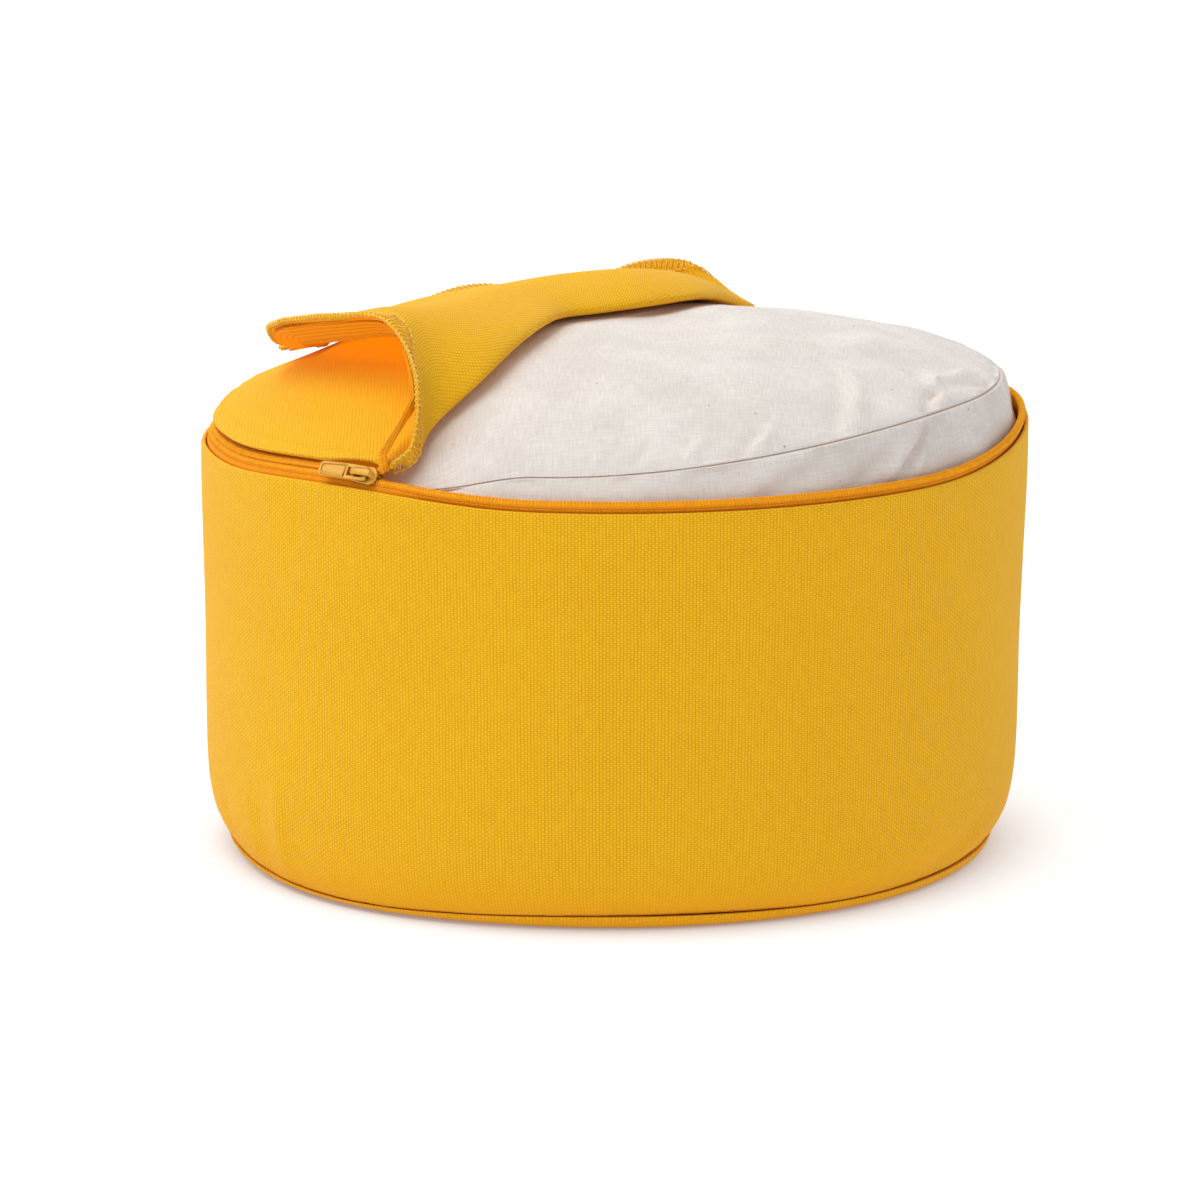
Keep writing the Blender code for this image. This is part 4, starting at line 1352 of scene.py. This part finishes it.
def make_floor(colour):
    """A floor that curves up into a wall far behind."""
    bm = bmesh.new()
    profile = [(FLOOR_NEAR, 0.0), (FLOOR_BEND, 0.0)]
    for step in range(1, 11):
        turn = step / 10 * math.pi / 2
        rise = FLOOR_CURVE - FLOOR_CURVE * math.cos(turn)
        profile.append((FLOOR_BEND + FLOOR_CURVE * math.sin(turn), rise))
    profile.append((FLOOR_BEND + FLOOR_CURVE, FLOOR_TOP))
    rows = [[bm.verts.new((x, y, z)) for x in (-FLOOR_HALF_WIDTH, FLOOR_HALF_WIDTH)] for y, z in profile]
    for near, far in zip(rows, rows[1:]):
        bm.faces.new((near[0], near[1], far[1], far[0]))
    mesh = bpy.data.meshes.new("studio_floor")
    bm.to_mesh(mesh)
    bm.free()
    mesh.shade_smooth()
    mesh.materials.append(ground_finish("pale_ground", colour))
    floor = bpy.data.objects.new("studio_floor", mesh)
    bpy.context.scene.collection.objects.link(floor)


def make_camera(stage):
    lens = bpy.data.cameras.new("studio_camera")
    camera = bpy.data.objects.new("studio_camera", lens)
    bpy.context.scene.collection.objects.link(camera)
    bpy.context.scene.camera = camera
    target = Vector((0.0, 0.0, stage.target_height))
    away, angle = stage.camera_distance, stage.camera_angle
    camera.location = target + Vector((0.0, -away * math.cos(angle), away * math.sin(angle)))
    aim(camera, target)
    lens.lens, lens.sensor_width = stage.lens, 36.0
    lens.shift_x, lens.shift_y = -0.0125, -0.005
    lens.clip_start, lens.clip_end = 0.1, 60.0


# ---------------------------------------------------------------- sizes, operators and the panel


def colour(name, description, default):
    return FloatVectorProperty(
        name=name, description=description, default=default, subtype="COLOR", min=0.0, max=1.0
    )


def length(name, description, default):
    return FloatProperty(
        name=name, description=description, default=default, unit="LENGTH", min=0.0, precision=5
    )


class CoverSizes(bpy.types.PropertyGroup):
    colour: colour("Canvas", "Colour of the canvas threads", (0.955, 0.55, 0.014))
    # Painted shade between the canvas threads, also its uneven tone
    canvas_shade_and_tone_colour: colour("Canvas depths", "Colour between the canvas threads", (0.62, 0.235, 0.003))
    thread_colour: colour("Edge thread", "Colour of the overlocking thread", (1.0, 0.70, 0.21))
    thread_pitch: length("Canvas thread pitch", "Distance between canvas threads", 0.00131)
    # Painted glow: emission put into the hollows of the canvas and the tape
    painted_glow_colour: colour("Canvas glow", "Light that soaks through into its hollows", (0.34, 0.15, 0.0))
    stitch_pitch: length("Edge stitch pitch", "Length of one overlocking stitch", 0.0024)
    stitch_width: length("Edge stitch width", "Width of the overlocked band", 0.0052)


class InnerSizes(bpy.types.PropertyGroup):
    colour: colour("Calico", "Colour of the calico", (0.84, 0.787, 0.745))
    # Painted shade between the calico threads, also its uneven tone
    shadow_colour: colour("Calico depths", "Colour between the calico threads", (0.66, 0.608, 0.562))
    fleck_colour: colour("Flecks", "Colour of the seed flecks", (0.30, 0.22, 0.16))
    thread_pitch: length("Calico thread pitch", "Distance between calico threads", 0.0005)


class ZipSizes(bpy.types.PropertyGroup):
    tape_colour: colour("Tape", "Colour of the zip tape", (0.95, 0.37, 0.008))
    # Painted shade in the tape's ribs, also its uneven tone
    tape_shade_and_tone_colour: colour("Tape depths", "Colour in the tape's ribs", (0.62, 0.12, 0.001))
    coil_colour: colour("Coil", "Colour of the zip's coil", (0.97, 0.43, 0.018))
    metal_colour: colour("Slider", "Colour of the slider's enamel", (0.72, 0.36, 0.03))
    # Painted shade in the slider's hollows, also its grain
    metal_shade_and_grain_colour: colour("Slider depths", "Colour of the slider's hollows", (0.30, 0.10, 0.004))
    tooth_pitch: length("Tooth pitch", "Distance between teeth of the zip", 0.0013)


class StageSizes(bpy.types.PropertyGroup):
    ground_colour: colour("Ground", "Colour of the floor", (0.36, 0.36, 0.36))
    target_height: length("Target height", "Height that the camera points at", 0.099)
    camera_distance: length("Camera distance", "Distance from the camera to the target", 2.42)
    camera_angle: FloatProperty(
        name="Camera angle",
        description="The camera's height above the horizon",
        default=math.radians(12.0),
        subtype="ANGLE",
    )
    lens: FloatProperty(name="Lens", description="Focal length in millimetres", default=180.2, min=10.0)
    light: FloatProperty(name="Light", description="Power of the main light in watts", default=62.0, min=0.0)


# What one operator leaves for the next
KEPT = {}


class CUSHION_OT_inner(bpy.types.Operator):
    """Makes the filled calico inner"""

    bl_idname = "cushion.inner"
    bl_label = "Calico inner"

    def execute(self, context):
        make_inner()
        return {"FINISHED"}


class CUSHION_OT_cover_body(bpy.types.Operator):
    """Makes the cover's side wall and base"""

    bl_idname = "cushion.cover_body"
    bl_label = "Cover side and base"

    def execute(self, context):
        make_side_wall()
        make_base()
        return {"FINISHED"}


class CUSHION_OT_cover_top(bpy.types.Operator):
    """Makes the cover's peeled top panel and its overlocked edge"""

    bl_idname = "cushion.cover_top"
    bl_label = "Cover top"

    def execute(self, context):
        KEPT["free_edge"] = make_top_panel()
        make_edge_stitching(KEPT["free_edge"])
        return {"FINISHED"}


class CUSHION_OT_zip(bpy.types.Operator):
    """Makes both halves of the zip, after the top panel"""

    bl_idname = "cushion.zip"
    bl_label = "Zip"

    def execute(self, context):
        make_zip_half("zip_lower", *lower_zip(), "zip_tape_lower", True)
        make_zip_half("zip_upper", *upper_zip(KEPT["free_edge"]), "zip_tape_upper", False)
        make_metal("slider_body", "zip_slider")
        make_metal("slider_puller", "zip_puller")
        make_puller_rim()
        return {"FINISHED"}


class CUSHION_OT_stage(bpy.types.Operator):
    """Makes the floor, the lights and the camera"""

    bl_idname = "cushion.stage"
    bl_label = "Stage"

    def execute(self, context):
        stage = context.scene.cushion_stage
        make_floor(stage.ground_colour)
        make_camera(stage)
        for name, place, target, size, share, tint in LIGHTS:
            add_light(name, place, target, size, stage.light * share, tint)
        world = bpy.data.worlds.new("studio_air")
        world.use_nodes = True
        background = world.node_tree.nodes["Background"]
        background.inputs["Color"].default_value = (1.0, 1.0, 1.0, 1.0)
        background.inputs["Strength"].default_value = AIR_LIGHT
        context.scene.world = world
        context.scene.view_settings.view_transform = "Standard"
        return {"FINISHED"}


class CUSHION_PT_panel(bpy.types.Panel):
    """Lists the cushion's sizes and the operators that make it"""

    bl_idname = "CUSHION_PT_panel"
    bl_label = "Cushion"
    bl_space_type = "VIEW_3D"
    bl_region_type = "UI"
    bl_category = "Cushion"

    def draw(self, context):
        for group in GROUPS:
            for name in group.__annotations__:
                self.layout.prop(getattr(context.scene, GROUPS[group]), name)
        for operator in OPERATORS:
            self.layout.operator(operator.bl_idname)


GROUPS = {
    CoverSizes: "cushion_cover",
    InnerSizes: "cushion_inner",
    ZipSizes: "cushion_zip",
    StageSizes: "cushion_stage",
}
OPERATORS = (CUSHION_OT_inner, CUSHION_OT_cover_body, CUSHION_OT_cover_top, CUSHION_OT_zip, CUSHION_OT_stage)


def register():
    for group, name in GROUPS.items():
        bpy.utils.register_class(group)
        setattr(bpy.types.Scene, name, PointerProperty(type=group))
    for operator in (*OPERATORS, CUSHION_PT_panel):
        bpy.utils.register_class(operator)


def unregister():
    for operator in (*OPERATORS, CUSHION_PT_panel):
        bpy.utils.unregister_class(operator)
    for group, name in GROUPS.items():
        delattr(bpy.types.Scene, name)
        bpy.utils.unregister_class(group)


def main():
    register()
    bpy.ops.cushion.inner()
    bpy.ops.cushion.cover_body()
    bpy.ops.cushion.cover_top()
    bpy.ops.cushion.zip()
    bpy.ops.cushion.stage()


if __name__ == "__main__":
    main()
